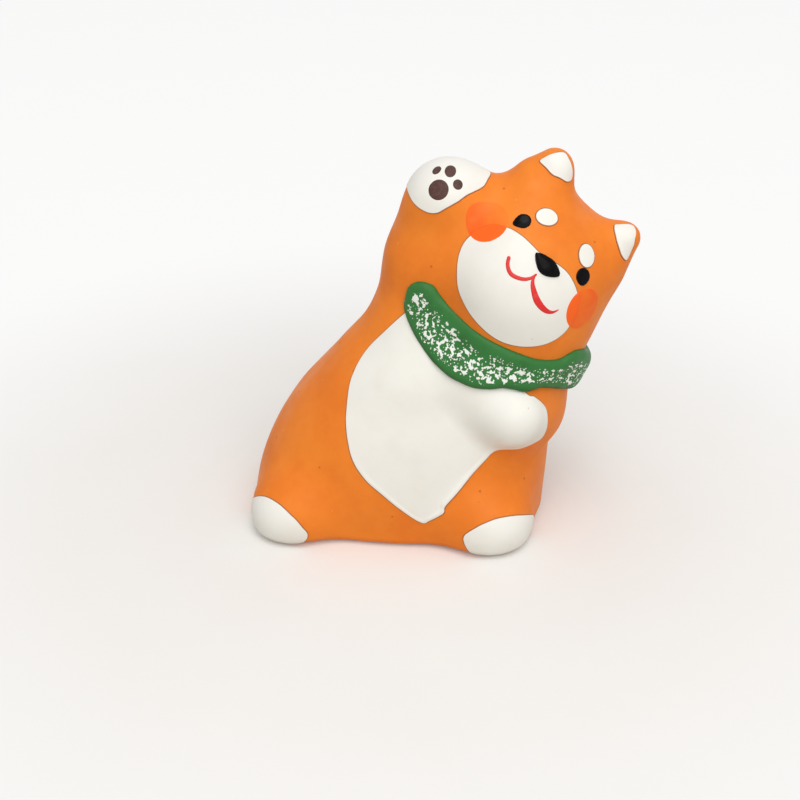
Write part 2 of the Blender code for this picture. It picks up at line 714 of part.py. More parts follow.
def tail(seat):
    """The tail, curled flat on the back and half sunk in it."""
    rings, around = 22, 14
    share = np.linspace(0, 1, rings)
    angle = np.radians(-90 + TAIL_TURN * share)
    curl = TAIL_CURL_START + (TAIL_CURL_END - TAIL_CURL_START) * share
    radii = TAIL_ROOT_RADIUS + (TAIL_TIP_RADIUS - TAIL_ROOT_RADIUS) * share
    x, z = TAIL_CENTRE_X + curl * np.cos(angle), TAIL_CENTRE_Z + curl * np.sin(angle)
    far = np.stack([x, np.full(rings, REACH), z], -1)
    path = enter(far, np.broadcast_to((0, -1.0, 0), far.shape), body_form)
    path = path + normals(path, body_form) * (radii - TAIL_SUNK)[:, None]
    round_ends = np.sqrt(np.clip(np.minimum(share, 1 - share) * rings / 2, 0.12, 1))
    skin = tube(path, radii * round_ends, np.array([0, 1.0, 0]), around).reshape(-1, 3)
    piece = turned_outwards(new_object("tail", skin, ring_faces(rings, around), "orange_paint"))
    subtract(piece, seat)


# Paint coats

def smooth_outline(points, count):
    """A closed outline through a few points, on a Catmull-Rom curve."""
    points = np.asarray(points, float)
    place = np.linspace(0, len(points), count, endpoint=False)
    index = place.astype(int)
    t = (place - index)[:, None]
    before, start, end, after = (points[(index + shift) % len(points)] for shift in (-1, 0, 1, 2))
    return 0.5 * (2 * start + (end - before) * t + (2 * before - 5 * start + 4 * end - after) * t ** 2
                  + (3 * start - before - 3 * end + after) * t ** 3)


def ellipse(centre, radii, count):
    """A closed ellipse."""
    angle = np.linspace(0, 2 * math.pi, count, endpoint=False)
    return np.stack([centre[0] + radii[0] * np.cos(angle), centre[1] + radii[1] * np.sin(angle)], -1)


def project(places, frame):
    """Points of the skin in front of places across a frame, and the skin's normals there."""
    origin, axes = frame
    flat = np.stack([places[..., 0], np.full(places.shape[:-1], -REACH), places[..., 1]], -1)
    start = origin + flat @ axes.T
    points = enter(start, np.broadcast_to(axes[:, 1], start.shape), body_form)
    return points, normals(points, body_form)


def kept_outline(centre, outline, blocked):
    """An outline drawn in along its spokes to where nothing blocks it."""
    shares = np.linspace(0, 1, 80)
    spots = centre + (outline - centre)[:, None] * shares[:, None]
    stopped = blocked(spots)
    stopped[:, -1] = True
    return centre + (outline - centre) * shares[np.argmax(stopped, axis=1)][:, None]


def coat(name, finish, frame, centre, outline, rows, thickness=PAINT, lift=GAP):
    """A paint coat: a slab on the skin inside an outline, thinner towards its edge."""
    shares = np.linspace(0, 1, rows + 1)[1:]
    centre = np.asarray(centre, float)
    spots = centre + (outline - centre) * shares[:, None, None]
    middle, middle_normal = project(centre, frame)
    points, ways = project(spots, frame)
    crown = thickness * (1 + np.sqrt(1 - shares ** 2)) / 2
    low = (middle + middle_normal * lift, points + ways * lift)
    high = (middle + middle_normal * (lift + thickness), points + ways * (lift + crown)[:, None, None])
    return turned_outwards(new_object(name, *disc_slab(low, high), finish))


HEAD_FRAME = (HEAD_CENTRE, HEAD_AXES)
SPOT = np.zeros(2)


def tangent_frame(place):
    """A frame on the skin at a place across the head, facing out along the skin's normal."""
    point, normal = project(np.asarray(place, float), HEAD_FRAME)
    across = unit(HEAD_AXES[:, 0] - normal * (HEAD_AXES[:, 0] @ normal))
    return point, np.stack([across, -normal, np.cross(across, -normal)], -1)


def beside(centre, direction, distance, side):
    """A place at a distance from a centre, mirrored for the left side."""
    angle = math.radians(direction)
    return centre[0] + side * distance * math.cos(angle), centre[1] + distance * math.sin(angle)


def spot(name, finish, place, size, rows, thickness=PAINT):
    """A round or oval dab of paint on the head; gives its frame and radii."""
    frame = tangent_frame(place)
    radii = np.array(size) / 2
    coat(name, finish, frame, SPOT, ellipse(SPOT, radii, 8 * rows), rows, thickness)
    return frame, radii


def face():
    """Eyes, brows, cheeks, nose, muzzle coat and mouth."""
    dabs = [spot("nose", "black_gloss", (FACE_SHIFT, NOSE_Z), (NOSE_WIDTH, NOSE_HEIGHT), 3, NOSE_THICKNESS)]
    for name, side in (("left", -1), ("right", 1)):
        eye = (FACE_SHIFT + side * EYE_X, EYE_Z)
        brow = beside(eye, BROW_DIRECTION, (EYE_HEIGHT + BROW_HEIGHT) / 2 + BROW_CLEAR, side)
        cheek = beside(eye, CHEEK_DIRECTION, EYE_HEIGHT / 2 + CHEEK_RADIUS + CHEEK_CLEAR, side)
        dabs.append(spot(name + "_eye", "black_gloss", eye, (EYE_WIDTH, EYE_HEIGHT), 3))
        dabs.append(spot(name + "_cheek", "blush_paint", cheek, (2 * CHEEK_RADIUS, 2 * CHEEK_RADIUS), 4))
        spot(name + "_brow", "white_paint", brow, (BROW_WIDTH, BROW_HEIGHT), 3)

    def blocked(spots):
        points, _ = project(spots, HEAD_FRAME)
        covered = np.zeros(points.shape[:-1], bool)
        for (origin, axes), radii in dabs:
            local = ((points - origin) @ axes)[..., [0, 2]]
            covered |= ((local / (radii + 2 * GAP)) ** 2).sum(-1) < 1
        return covered

    middle = np.array([FACE_SHIFT, -MUZZLE_DOWN / 2])
    outline = kept_outline(middle, smooth_outline(MUZZLE_OUTLINE, 54), blocked)
    coat("muzzle_coat", "white_paint", HEAD_FRAME, middle, outline, 5)
    mouth_stroke("mouth_left", MOUTH_LEFT)
    mouth_stroke("mouth_right", MOUTH_RIGHT)


def mouth_stroke(name, points):
    """One brush stroke of the mouth, on the muzzle coat, thin at its ends."""
    rows = 18
    points = np.asarray(points, float)
    place = np.linspace(0, len(points) - 1.001, rows)
    index = place.astype(int)
    t = (place - index)[:, None]
    padded = np.concatenate([points[:1], points, points[-1:]])
    before, start, end, after = (padded[index + shift] for shift in range(4))
    path = 0.5 * (2 * start + (end - before) * t + (2 * before - 5 * start + 4 * end - after) * t ** 2
                  + (3 * start - before - 3 * end + after) * t ** 3)
    way = unit_rows(np.gradient(path, axis=0))
    aside = np.stack([-way[:, 1], way[:, 0]], -1)
    taper = MOUTH_END_SHARE + (1 - MOUTH_END_SHARE) * np.sin(np.linspace(0, math.pi, rows))
    across = np.linspace(-0.5, 0.5, 3) * MOUTH_WIDTH
    spots = path[:, None] + aside[:, None] * (across * taper[:, None])[..., None]
    base, ways = project(spots, HEAD_FRAME)
    lift = GAP + PAINT + GAP
    slab = strip_slab(base + ways * lift, base + ways * (lift + PAINT / 2))
    turned_outwards(new_object(name, *slab, "red_paint"))


def ear_linings():
    """The pale lining painted on the front of each ear, pointed like the ear."""
    for name, tip, side in (("left_ear_lining", LEFT_EAR_TIP, 1), ("right_ear_lining", RIGHT_EAR_TIP, -1)):
        centre = np.array([tip[0], tip[2] - EAR_LINING_DOWN])
        outline = centre + smooth_outline(EAR_LINING, 24) * (side, 1)
        coat(name, "white_paint", HEAD_FRAME, centre, outline, 3)


def pads():
    """The palm pad and toe pads of the raised paw."""
    frame = (PAW_CENTRE, rotation(PAW_TILT, 0, PALM_FRAME_NOD))
    places = [("palm_pad", PALM_PLACE, PALM_RADII)]
    for number, (place, radii) in enumerate(zip(TOE_PLACES, TOE_RADII), start=1):
        centre = (PALM_PLACE[0] + place[0], PALM_PLACE[1] + place[1])
        places.append(("toe_pad_%d" % number, centre, radii))
    for name, centre, radii in places:
        coat(name, "brown_paint", frame, centre, ellipse(centre, radii, 20), 2)


# Scarf and belly

def spine_share(length):
    """A length beside the neck as a share of the spine."""
    step = 0.01
    ahead, _ = spine(SCARF_AT + step)
    here, _ = spine(SCARF_AT)
    return length * step / np.linalg.norm(ahead - here)


def scarf_edges(angle):
    """Lower and upper edge of the scarf along the spine, at angles from the figure's right side."""
    middle = SCARF_AT + SCARF_LIFT * np.cos(np.radians(angle) / 2) ** SCARF_LIFT_POWER
    from_end = np.clip((SCARF_END - np.abs(angle)) / SCARF_END_ROUND, 0, 1)
    half = spine_share(SCARF_WIDTH / 2) * np.sqrt(1 - (1 - from_end) ** 2 * SCARF_END_SHARE)
    return middle - half, middle + half


def scarf_slab(grow):
    """The scarf's band, thickest along its middle and grown all round by a clearance."""
    rows, columns = 48, 6
    angle = np.linspace(-SCARF_END, SCARF_END, rows)
    low, high = scarf_edges(angle)
    across = np.linspace(0, 1, columns)
    at = low[:, None] + (high - low)[:, None] * across + spine_share(grow) * (2 * across - 1)
    centre, lean = spine(at)
    turn = np.broadcast_to(np.radians(angle)[:, None], at.shape)
    base = leave(centre, spokes(centre, lean, turn, 0 * turn), body_form)
    ways = normals(base, body_form)
    round_top = np.sqrt(1 - (2 * across - 1) ** 4)
    swell = SCARF_THICKNESS * (SCARF_EDGE_SHARE + (1 - SCARF_EDGE_SHARE) * round_top)
    return strip_slab(base + ways * (GAP - 2 * grow), base + ways * (GAP + swell + grow)[None, :, None])


def scarf():
    """The scarf: a soft band round the neck, from the front of the raised arm to its back."""
    turned_outwards(new_object("scarf", *scarf_slab(0.0), "green_paint"))


def on_spine(points):
    """Place along the spine and angle round it of points beside the torso."""
    low, high = np.full(points.shape[:-1], -1.0), np.full(points.shape[:-1], 1.0)
    for _ in range(HALVING_COUNT):
        middle = (low + high) / 2
        centre, lean = spine(middle)
        up = np.stack([np.sin(lean), 0 * lean, np.cos(lean)], -1)
        above = ((points - centre) * up).sum(-1) > 0
        low, high = np.where(above, middle, low), np.where(above, high, middle)
    centre, lean = spine(low)
    right = np.stack([np.cos(lean), 0 * lean, -np.sin(lean)], -1)
    aside = ((points - centre) * right).sum(-1)
    return low, np.degrees(np.arctan2(points[..., 1], aside))


def belly_coat():
    """The white belly, up to the scarf and the folded arm."""
    frame = (np.zeros(3), np.eye(3))

    def blocked(spots):
        points, ways = project(spots, frame)
        at, angle = on_spine(points)
        lower, _ = scarf_edges(np.clip(angle, -SCARF_END, SCARF_END))
        clear = 2 * GAP
        near_scarf = at > lower - spine_share(clear)
        near_arm = folded_form(points + ways * (GAP + PAINT / 2)) < clear
        return near_scarf | near_arm

    centre = np.array(BELLY_CENTRE)
    outline = kept_outline(centre, smooth_outline(BELLY_OUTLINE, 60), blocked)
    coat("belly_coat", "white_paint", frame, centre, outline, 6)


def main():
    for old in list(bpy.data.objects):
        bpy.data.objects.remove(old, do_unlink=True)
    castings()
    seat = seat_body()
    folded_arm(seat, tool("scarf_seat", *scarf_slab(GAP)))
    tail(seat)
    scarf()
    belly_coat()
    face()
    ear_linings()
    pads()


main()
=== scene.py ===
"""Looks of a hand-painted pottery dog that bends sideways in a stretch.

The clay is one blended form round a bent spine.  Its skin is a function of two parameters, the
place along the spine and the angle round it, and the paint coats and the scarf are thin surfaces
on that skin.  Lengths here are in millimetres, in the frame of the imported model: +Z up and the
face towards -Y.  The meshes are written in metres.
"""

import math

import bpy
import numpy as np
from bpy.props import FloatProperty, FloatVectorProperty, PointerProperty
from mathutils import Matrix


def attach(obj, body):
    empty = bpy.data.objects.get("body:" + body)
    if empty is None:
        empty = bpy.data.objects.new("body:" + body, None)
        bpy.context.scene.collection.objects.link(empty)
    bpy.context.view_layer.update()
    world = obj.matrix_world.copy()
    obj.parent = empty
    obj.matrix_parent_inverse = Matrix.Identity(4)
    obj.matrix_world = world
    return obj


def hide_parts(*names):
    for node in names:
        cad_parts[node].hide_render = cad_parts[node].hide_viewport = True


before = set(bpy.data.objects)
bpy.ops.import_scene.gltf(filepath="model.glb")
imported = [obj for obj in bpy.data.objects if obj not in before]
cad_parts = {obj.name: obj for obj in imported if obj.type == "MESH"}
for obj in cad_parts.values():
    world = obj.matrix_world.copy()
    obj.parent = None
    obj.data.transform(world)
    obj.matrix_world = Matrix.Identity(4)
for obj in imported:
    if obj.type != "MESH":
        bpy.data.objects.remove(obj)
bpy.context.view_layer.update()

bl_info = {
    "name": "Pottery Dog",
    "version": (1, 0, 0),
    "blender": (4, 5, 0),
    "location": "View3D > Sidebar > Dog",
    "description": "Builds the clay, paint and scarf of a pottery dog on its packed model",
    "category": "Object",
}

METRES = 0.001

# Torso stations from the base up: height, shift to the side, width, depth
STATIONS = np.array([
    [0.0, 0.7, 55.0, 36.0],
    [8.0, 1.7, 53.8, 37.2],
    [18.0, 4.2, 50.2, 35.4],
    [28.0, 9.5, 45.0, 31.2],
    [38.0, 18.2, 30.6, 26.0],
    [46.0, 20.0, 24.0, 20.0],
])
TORSO_TOP = 43.0
TORSO_TOP_ROUND = 10.0
TORSO_LEAN = 0.85
SQUARENESS = 2.3
BASE_ROUND = 2.0
WALL = 3.0
DRAIN_CENTRE = (0.0, 7.0)
DRAIN_RADIUS = 6.0

# Head, in its own frame: x to its right in the view, -y out of the face, z to the crown
HEAD_CENTRE = np.array([24.0, -0.5, 49.3])
HEAD_TILT = 41.0
HEAD_TURN = -2.0
HEAD_NOD = 4.0
HEAD_RADII = np.array([14.45, 13.0, 13.0])
MUZZLE_RADII = np.array([10.5, 8.6, 9.0])
MUZZLE_PLACE = (0.0, -8.0, -3.5)
MUZZLE_BLEND = 5.0
# Ears: root, tip and the radius at each
EARS = (
    ((-9.76, 0.0, 12.0), (-8.84, 0.0, 14.95), 2.3, 2.65),
    ((9.4, 0.0, 9.1), (8.5, 0.0, 14.5), 1.1, 1.8),
)
EAR_BLEND = 7.97

# Arms and feet
ARM_ROOT = np.array([3.5, -1.0, 31.0])
ARM_WRIST = np.array([6.9, -1.5, 50.0])
ARM_ROOT_RADIUS = 9.8
ARM_WRIST_RADIUS = 7.1
ARM_BLEND = 5.95
ARMPIT_OUTER = np.array([-3.4, -1.0, 27.9])
ARMPIT_INNER = np.array([2.2, -1.0, 30.2])
ARMPIT_OUTER_RADIUS = 5.7
ARMPIT_INNER_RADIUS = 4.8
ARMPIT_BLEND = 8.0
PAW_CENTRE = np.array([9.0, -2.0, 60.8])
PAW_RADII = np.array([6.8, 6.8, 4.9])
PAW_TILT = -28.0
PAW_CORE_RADIUS = 5.0
PAW_BLEND = 4.8
FOLDED_ELBOW = np.array([24.1, -5.8, 23.7])
FOLDED_TIP = np.array([21.85, -13.8, 26.05])
FOLDED_ELBOW_RADIUS = 6.9
FOLDED_TIP_RADIUS = 5.5
FOLDED_FADE = np.array([13.0, -9.8, 31.0])
FOLDED_FADE_RADIUS = 4.6
FOLDED_BLEND = 3.2
SCARF_FOLD_BLEND = 5.0
LEFT_FOOT = np.array([-17.7, -14.5, 3.75])
RIGHT_FOOT = np.array([19.1, -14.45, 3.75])
FOOT_RADII = np.array([5.95, 5.6, 5.5])
FOOT_BLEND = 8.0
NECK_BLEND = 8.0

# Spine: straight up from the base, then one curve into the head, then a dome of rays
SPINE_START = np.array([0.7, 0.0, 6.0])
SPINE_RATE = 33.0
SPINE_FOOT = -SPINE_START[2] / SPINE_RATE
DOME_RATE = 3.9
DOME_TOP = 1 + math.pi / 2 / DOME_RATE
REACH = 45.0
HALVINGS = 22
# Keeps the rings that meet the base and the hollow's floor off their exact heights
CLEAR = 0.001

# Rays straight at the clay: how far in front they start, and the count of their first steps
HEAD_FRONT = 26.0
DAB_FRONT = 7.0
TAIL_FRONT = 40.0
FACING_STEPS = 110
# Half the step of the differences that give outward directions
NORMAL_STEP = 0.02

# Tail, a curl on the back
TAIL_CENTRE = (5.0, 16.0)
TAIL_CURL = (6.6, 3.4)
TAIL_TURN = 300.0
TAIL_RADII = (3.5, 2.2)
TAIL_SUNK = 1.4

# Paint outlines on the body: points near the skin, and for the belly the share of the bead of paint there
BELLY_FRONT = np.array([
    (-0.1, -8.9, 38.7, 0.0), (-3.4, -8.8, 34.6, 0.0), (-5.7, -10.6, 30.9, 0.0), (-6.6, -12.5, 27.3, 0.0),
    (-6.9, -14.6, 23.4, 0.1), (-6.3, -16.1, 19.7, 0.1), (-5.2, -17.1, 16.6, 0.2), (-2.9, -18.0, 13.5, 0.4),
    (-0.1, -18.4, 11.2, 0.4), (3.2, -18.6, 8.4, 0.6), (6.9, -18.3, 5.8, 0.5), (8.5, -18.3, 6.4, 0.8),
    (10.9, -18.5, 8.1, 1.0), (11.3, -18.2, 9.6, 1.0), (14.2, -17.3, 13.3, 1.0), (16.2, -16.3, 16.0, 0.9),
    (18.2, -15.5, 18.3, 0.6), (19.8, -15.4, 19.8, 0.2), (21.2, -15.4, 20.1, 0.0), (23.7, -14.2, 19.8, 0.0),
    (26.0, -13.2, 20.4, 0.0), (27.3, -12.5, 21.1, 0.0), (28.0, -12.9, 22.8, 0.0), (28.1, -13.4, 24.9, 0.0),
    (27.5, -13.6, 27.8, 0.0), (25.9, -14.7, 30.0, 0.0), (24.5, -15.1, 30.9, 0.0),
])
# Its hidden edge: place along the spine, degrees round it
BELLY_UNDER_SCARF = np.array([
    (0.775, 302.0), (0.75, 286.0), (0.73, 270.0), (0.73, 252.0), (0.755, 235.0), (0.80, 222.0),
])
BELLY_MIDDLE = (6.0, -17.5, 23.0)
MITTEN_FRONT = np.array([
    (2.9, -4.5, 62.2), (4.2, -7.3, 61.0), (5.9, -8.6, 60.2), (7.7, -9.1, 59.9), (9.5, -9.2, 60.6),
    (11.6, -8.8, 62.0), (13.9, -7.3, 63.2), (15.6, -5.6, 63.8), (16.2, -3.9, 64.5), (16.5, -2.6, 64.8),
])
MITTEN_MIDDLE = (8.0, -2.0, 67.5)
LEFT_FOOT_LINE = np.array([
    (-25.2, -11.6, 4.6), (-23.9, -14.6, 6.9), (-22.4, -16.1, 8.2), (-20.6, -17.5, 8.8), (-18.1, -19.0, 8.3),
    (-15.7, -20.2, 6.5), (-14.1, -20.4, 4.4), (-13.5, -20.3, 2.9), (-14.1, -20.0, 1.4), (-15.8, -19.5, 0.6),
    (-18.4, -18.5, 0.35), (-22.0, -15.6, 0.35), (-24.6, -11.5, 0.4), (-25.8, -9.6, 2.2),
])
LEFT_FOOT_MIDDLE = (-19.5, -18.5, 4.4)
RIGHT_FOOT_LINE = np.array([
    (14.4, -19.9, 3.7), (14.9, -19.9, 5.4), (17.5, -19.7, 7.4), (20.6, -18.8, 8.3), (23.9, -16.9, 7.8),
    (26.2, -13.4, 5.8), (26.9, -12.0, 4.3), (26.6, -11.4, 1.8), (25.2, -12.6, 0.4), (22.0, -16.5, 0.35),
    (18.6, -18.8, 0.35), (15.6, -19.6, 1.2),
])
RIGHT_FOOT_MIDDLE = (20.6, -18.4, 4.2)

# Pads of the raised paw: name, node, middle, radii and turn
PADS = (
    ("palm", "palm_pad", (8.4, -8.2, 63.7), (1.72, 1.75), 15.0),
    ("toe_1", "toe_pad_1", (7.8, -5.4, 66.1), (0.78, 0.98), -18.0),
    ("toe_2", "toe_pad_2", (10.1, -5.8, 66.1), (0.98, 1.40), 0.0),
    ("toe_3", "toe_pad_3", (11.4, -7.6, 64.5), (0.86, 0.94), 0.0),
)

# Face, in the head's frame, seen from its front
MUZZLE_LINE = [
    (-9.0, 5.1), (-6.8, 6.0), (-4.6, 6.3), (-2.4, 6.4), (0.9, 6.9), (3.3, 6.8), (6.0, 5.8), (7.9, 4.3),
    (9.2, 2.0), (9.9, -0.6), (9.1, -3.4), (6.6, -6.2), (3.6, -8.1), (0.3, -8.9), (-4.1, -8.8), (-7.5, -7.8),
    (-9.8, -6.0), (-11.8, -3.4), (-12.4, -0.7), (-11.2, 3.0),
]
MUZZLE_MIDDLE = (-1.0, -1.5)
MUZZLE_SCALE = np.array([60.0, 14.0])
MUZZLE_STEP = 0.012
# Cheeks: middle, radii, the way they fade and where that starts, in radii
CHEEKS = (
    ("left", (-11.7, 3.0), (3.6, 3.5), (0, 1), 0.35),
    ("right", (9.6, 3.6), (3.6, 3.6), (1, 0), -0.4),
)
# Eyes and brows: middle, radii and turn, and for the eyes how far they are drawn to a point
EYES = (
    ("left", (-7.8, 7.3), (1.42, 1.28), 52.0, 0.18),
    ("right", (5.6, 7.6), (1.42, 1.40), 131.0, 0.06),
)
BROWS = (
    ("left", (-5.2, 10.1), (2.0, 1.68), 35.0),
    ("right", (3.9, 10.0), (2.1, 1.78), 128.0),
)
NOSE_LINE = [
    (-3.2, 5.7), (-2.8, 6.2), (-1.7, 6.6), (0.0, 6.8), (1.6, 6.3), (2.2, 5.6), (0.8, 4.6), (-0.7, 4.3),
    (-2.1, 4.8),
]
NOSE_MIDDLE = (-0.5, 5.6)
# Mouth strokes: points and the width at each
MOUTHS = (
    ("left", [(-6.0, 2.8), (-5.3, 1.8), (-4.0, 1.3), (-2.3, 1.9), (-1.3, 2.8), (-0.9, 3.9)],
     [0.60, 0.62, 0.64, 0.58, 0.50, 0.36]),
    ("right", [(-1.0, 3.5), (-0.7, 2.8), (0.1, 2.1), (2.0, 1.1), (4.0, 0.7), (5.3, 1.0), (5.9, 1.9)],
     [0.36, 0.54, 0.76, 1.04, 0.86, 0.52, 0.16]),
)
# Ear linings: middle and outline, near the skin
EAR_LININGS = (
    ("left", (27.6, -3.7, 66.6), [
        (24.4, -3.2, 67.5), (25.6, -4.4, 66.5), (26.9, -4.9, 65.6), (28.8, -4.4, 64.6), (29.7, -3.4, 64.4),
        (29.9, -2.9, 65.6), (29.3, -2.5, 67.7), (28.5, -2.0, 68.7), (27.2, -2.5, 68.9), (25.7, -2.9, 68.4),
    ]),
    ("right", (39.2, -4.3, 54.8), [
        (37.2, -3.1, 56.9), (38.0, -2.8, 57.0), (40.2, -2.3, 56.9), (41.0, -2.9, 56.2), (41.0, -3.8, 55.0),
        (40.5, -4.2, 53.1), (39.9, -4.6, 51.6), (39.4, -5.1, 51.6), (38.6, -5.6, 52.8), (37.8, -5.3, 54.7),
        (37.3, -4.3, 56.2),
    ]),
)

# Scarf edges: angle round the neck from the right side, place along the spine
SCARF_LOW = np.array([
    (-147.5, 0.787), (-146.8, 0.772), (-145.4, 0.750), (-143.0, 0.736), (-135.0, 0.715), (-124.8, 0.699),
    (-112.9, 0.687), (-103.8, 0.682), (-92.4, 0.681), (-84.0, 0.688), (-77.8, 0.698), (-70.3, 0.725),
    (-64.9, 0.752), (-61.4, 0.764), (-55.8, 0.779), (-52.9, 0.788), (-49.2, 0.799), (-43.9, 0.809),
    (-35.1, 0.816), (-27.0, 0.817), (-18.0, 0.815), (-10.0, 0.808), (0.0, 0.797), (30.0, 0.765),
    (60.0, 0.730), (90.0, 0.705), (120.0, 0.695), (140.0, 0.706), (146.0, 0.735), (147.5, 0.763),
])
SCARF_HIGH = np.array([
    (-147.5, 0.787), (-146.8, 0.800), (-144.6, 0.818), (-140.9, 0.831), (-137.7, 0.836), (-130.9, 0.829),
    (-120.0, 0.824), (-104.5, 0.828), (-90.3, 0.838), (-78.5, 0.852), (-67.4, 0.867), (-59.4, 0.877),
    (-51.7, 0.891), (-44.7, 0.908), (-40.4, 0.930), (-35.6, 0.944), (-27.2, 0.946), (-14.0, 0.937),
    (0.0, 0.925), (30.0, 0.893), (60.0, 0.863), (90.0, 0.843), (120.0, 0.827), (140.0, 0.820),
    (146.0, 0.791), (147.5, 0.763),
])
SCARF_END = 147.5

# Fineness of the coats: points round the outline, rows from the middle to the edge
BELLY_GRID = (520, 74)
PAW_GRID = (240, 44)
MUZZLE_GRID = (320, 56)
EAR_GRID = (120, 20)
BROW_GRID = (96, 18)
EYE_GRID = (96, 24)
NOSE_GRID = (120, 36)
CHEEK_GRID = (160, 60)
PAD_GRID = (96, 16)

# Unevenness of the brush on each outline, as a share of its size, and where its waves start
BELLY_BRUSH = (0.0022, 1.0)
PAW_BRUSHES = ((0.003, 2), (0.003, 3), (0.003, 4))
MUZZLE_BRUSH = (0.002, 5.0)
EAR_BRUSH = (0.0005, 6.0)
BROW_BRUSH = (0.006, 7.0)
EYE_BRUSH = (0.010, 3.0)
NOSE_BRUSH = (0.004, 8.0)
CHEEK_BRUSH = (0.003, 9.0)
PAD_BRUSH = (0.006, 4.0)

# Coats: widths of their lips, the cheeks' share of a thin coat, the belly's bead, and the parts in the clay
EYE_LIP = 0.12
NOSE_LIP = 0.20
CHEEK_LIP = 0.10
PAD_LIP = 0.14
CHEEK_WASH = 0.6
BEAD_INSET = 0.55
BEAD_WIDTH = 0.38
COAT_SINK = 0.25
LOWEST = 0.02
LIP_ROWS = 7

# The view, in millimetres and degrees
CAMERA_PLACE = (21.85, -196.79, 123.4)
CAMERA_PITCH = 27.456
CAMERA_YAW = 6.0
CAMERA_LENS = 54.0
CAMERA_SENSOR = 36.0

# The stage, in metres and watts.  Lights: name, place, width and power
FIGURE_MIDDLE = np.array([0.01, 0.0, 0.035])
LIGHTS = (
    ("key", (0.08, -0.26, 1.05), 0.5, 2.6),
    ("fill", (0.26, -0.80, 0.77), 1.2, 6.7),
)
WORLD_LIGHT = 0.48
WORLD_SEEN = 0.96
FLOOR_HALF = 4.0
FLOOR_DROP = 0.00005
FLOOR_FADE = (0.03, 0.15)
FLOOR_PALENESS = (0.10, 0.85)


# Sizes and colours that can be changed

def colour(name, description, value):
    """A colour property with the given default."""
    return FloatVectorProperty(name=name, description=description, default=value, subtype="COLOR",
                               min=0, max=1)


def length(name, description, millimetres):
    """A length property whose default is given in millimetres."""
    return FloatProperty(name=name, description=description, default=millimetres * METRES, unit="LENGTH",
                         precision=5)


class DogSizes(bpy.types.PropertyGroup):
    """Thicknesses of paint and scarf."""

    paint: length("Paint", "Thickness of the white coats", 0.14)
    bead: length("Bead", "Extra height of the paint that ran together at the edge of the belly", 0.22)
    lip: length("Lip", "Width of the rounded edge of a coat", 0.16)
    thin: length("Thin paint", "Thickness of the dabs and strokes", 0.07)
    nose: length("Nose", "Height of the nose", 0.9)
    eye: length("Eye", "Height of the eyes", 0.28)
    scarf: length("Scarf", "Height of the scarf above the neck", 1.3)
    wobble: length("Unevenness", "Height of the hand-made unevenness of the clay", 0.05)


class DogColours(bpy.types.PropertyGroup):
    """Colours of paint, clay and floor."""

    orange: colour("Orange", "Coat of the dog", (0.90, 0.246, 0.025))
    deep_orange: colour("Deep orange", "Where the orange lies thicker", (0.83, 0.201, 0.018))
    pinhole: colour("Pinholes", "Pinholes in the orange", (0.40, 0.09, 0.02))
    grain: colour("Grains", "Pale specks in the orange", (0.93, 0.45, 0.16))
    white: colour("White", "Belly, muzzle, paws and ears", (0.885, 0.866, 0.805))
    cream: colour("Cream", "Where the white lies thinner", (0.85, 0.81, 0.73))
    dust: colour("Dust", "Specks on the white", (0.45, 0.36, 0.27))
    # Painted shade: a thin dark line along the lip of each white coat, standing in for the shade where it
    # meets the orange
    edge: colour("Edge", "The thin line where white meets orange", (0.34, 0.105, 0.016))
    green: colour("Green", "Scarf", (0.034, 0.180, 0.040))
    # Deep green: partly a darker random tone, partly painted shade along the scarf's lower edge
    deep_green: colour("Deep green", "Edges of the scarf", (0.022, 0.120, 0.022))
    fleck: colour("Flecks", "Sponged flecks on the scarf", (0.86, 0.89, 0.82))
    black: colour("Black", "Eyes and nose", (0.0020, 0.0016, 0.0022))
    thin_black: colour("Thin black", "Where the black lies thinner", (0.0050, 0.0045, 0.0060))
    red: colour("Red", "Mouth", (0.72, 0.022, 0.020))
    dry_red: colour("Dry red", "Where the red brush ran dry", (0.76, 0.06, 0.045))
    blush: colour("Blush", "Cheeks over orange", (0.93, 0.130, 0.012))
    bright_blush: colour("Bright blush", "Cheeks over white", (1.0, 0.140, 0.012))
    brown: colour("Brown", "Pads of the paw", (0.078, 0.032, 0.025))
    pale_brown: colour("Pale brown", "Where the brown lies thinner", (0.105, 0.050, 0.040))
    dark_brown: colour("Dark brown", "Rims of the pads", (0.036, 0.014, 0.011))
    clay: colour("Clay", "Bare fired clay underneath and inside", (0.62, 0.50, 0.38))
    dark_clay: colour("Dark clay", "Grit in the bare clay", (0.48, 0.36, 0.26))
    floor: colour("Floor", "Stage", (0.90, 0.875, 0.835))
    floor_shade: colour("Floor shade", "Cloudy shade in the floor", (0.86, 0.835, 0.795))
    floor_light: colour("Floor light", "What the floor throws back at the figure", (0.60, 0.57, 0.515))


# The clay form: every function gives a distance in millimetres, below zero inside

def unit(vector):
    """The vector at length one."""
    vector = np.asarray(vector, float)
    return vector / np.linalg.norm(vector, axis=-1, keepdims=True)


def rotation(tilt, turn, nod):
    """Axes tilted sideways, turned about their height and nodded, in degrees, in that order."""
    a, b, c = np.radians([tilt, turn, nod])
    tilted = np.array([[math.cos(a), 0, math.sin(a)], [0, 1, 0], [-math.sin(a), 0, math.cos(a)]])
    turned = np.array([[math.cos(b), -math.sin(b), 0], [math.sin(b), math.cos(b), 0], [0, 0, 1]])
    nodded = np.array([[1, 0, 0], [0, math.cos(c), -math.sin(c)], [0, math.sin(c), math.cos(c)]])
    return tilted @ turned @ nodded


HEAD_AXES = rotation(HEAD_TILT, HEAD_TURN, HEAD_NOD)
PAW_AXES = rotation(PAW_TILT, 0, 0)
WORLD_AXES = np.eye(3)


def on_head(place):
    """A place in the head's frame, in the figure's frame."""
    return HEAD_CENTRE + HEAD_AXES @ np.asarray(place, float)


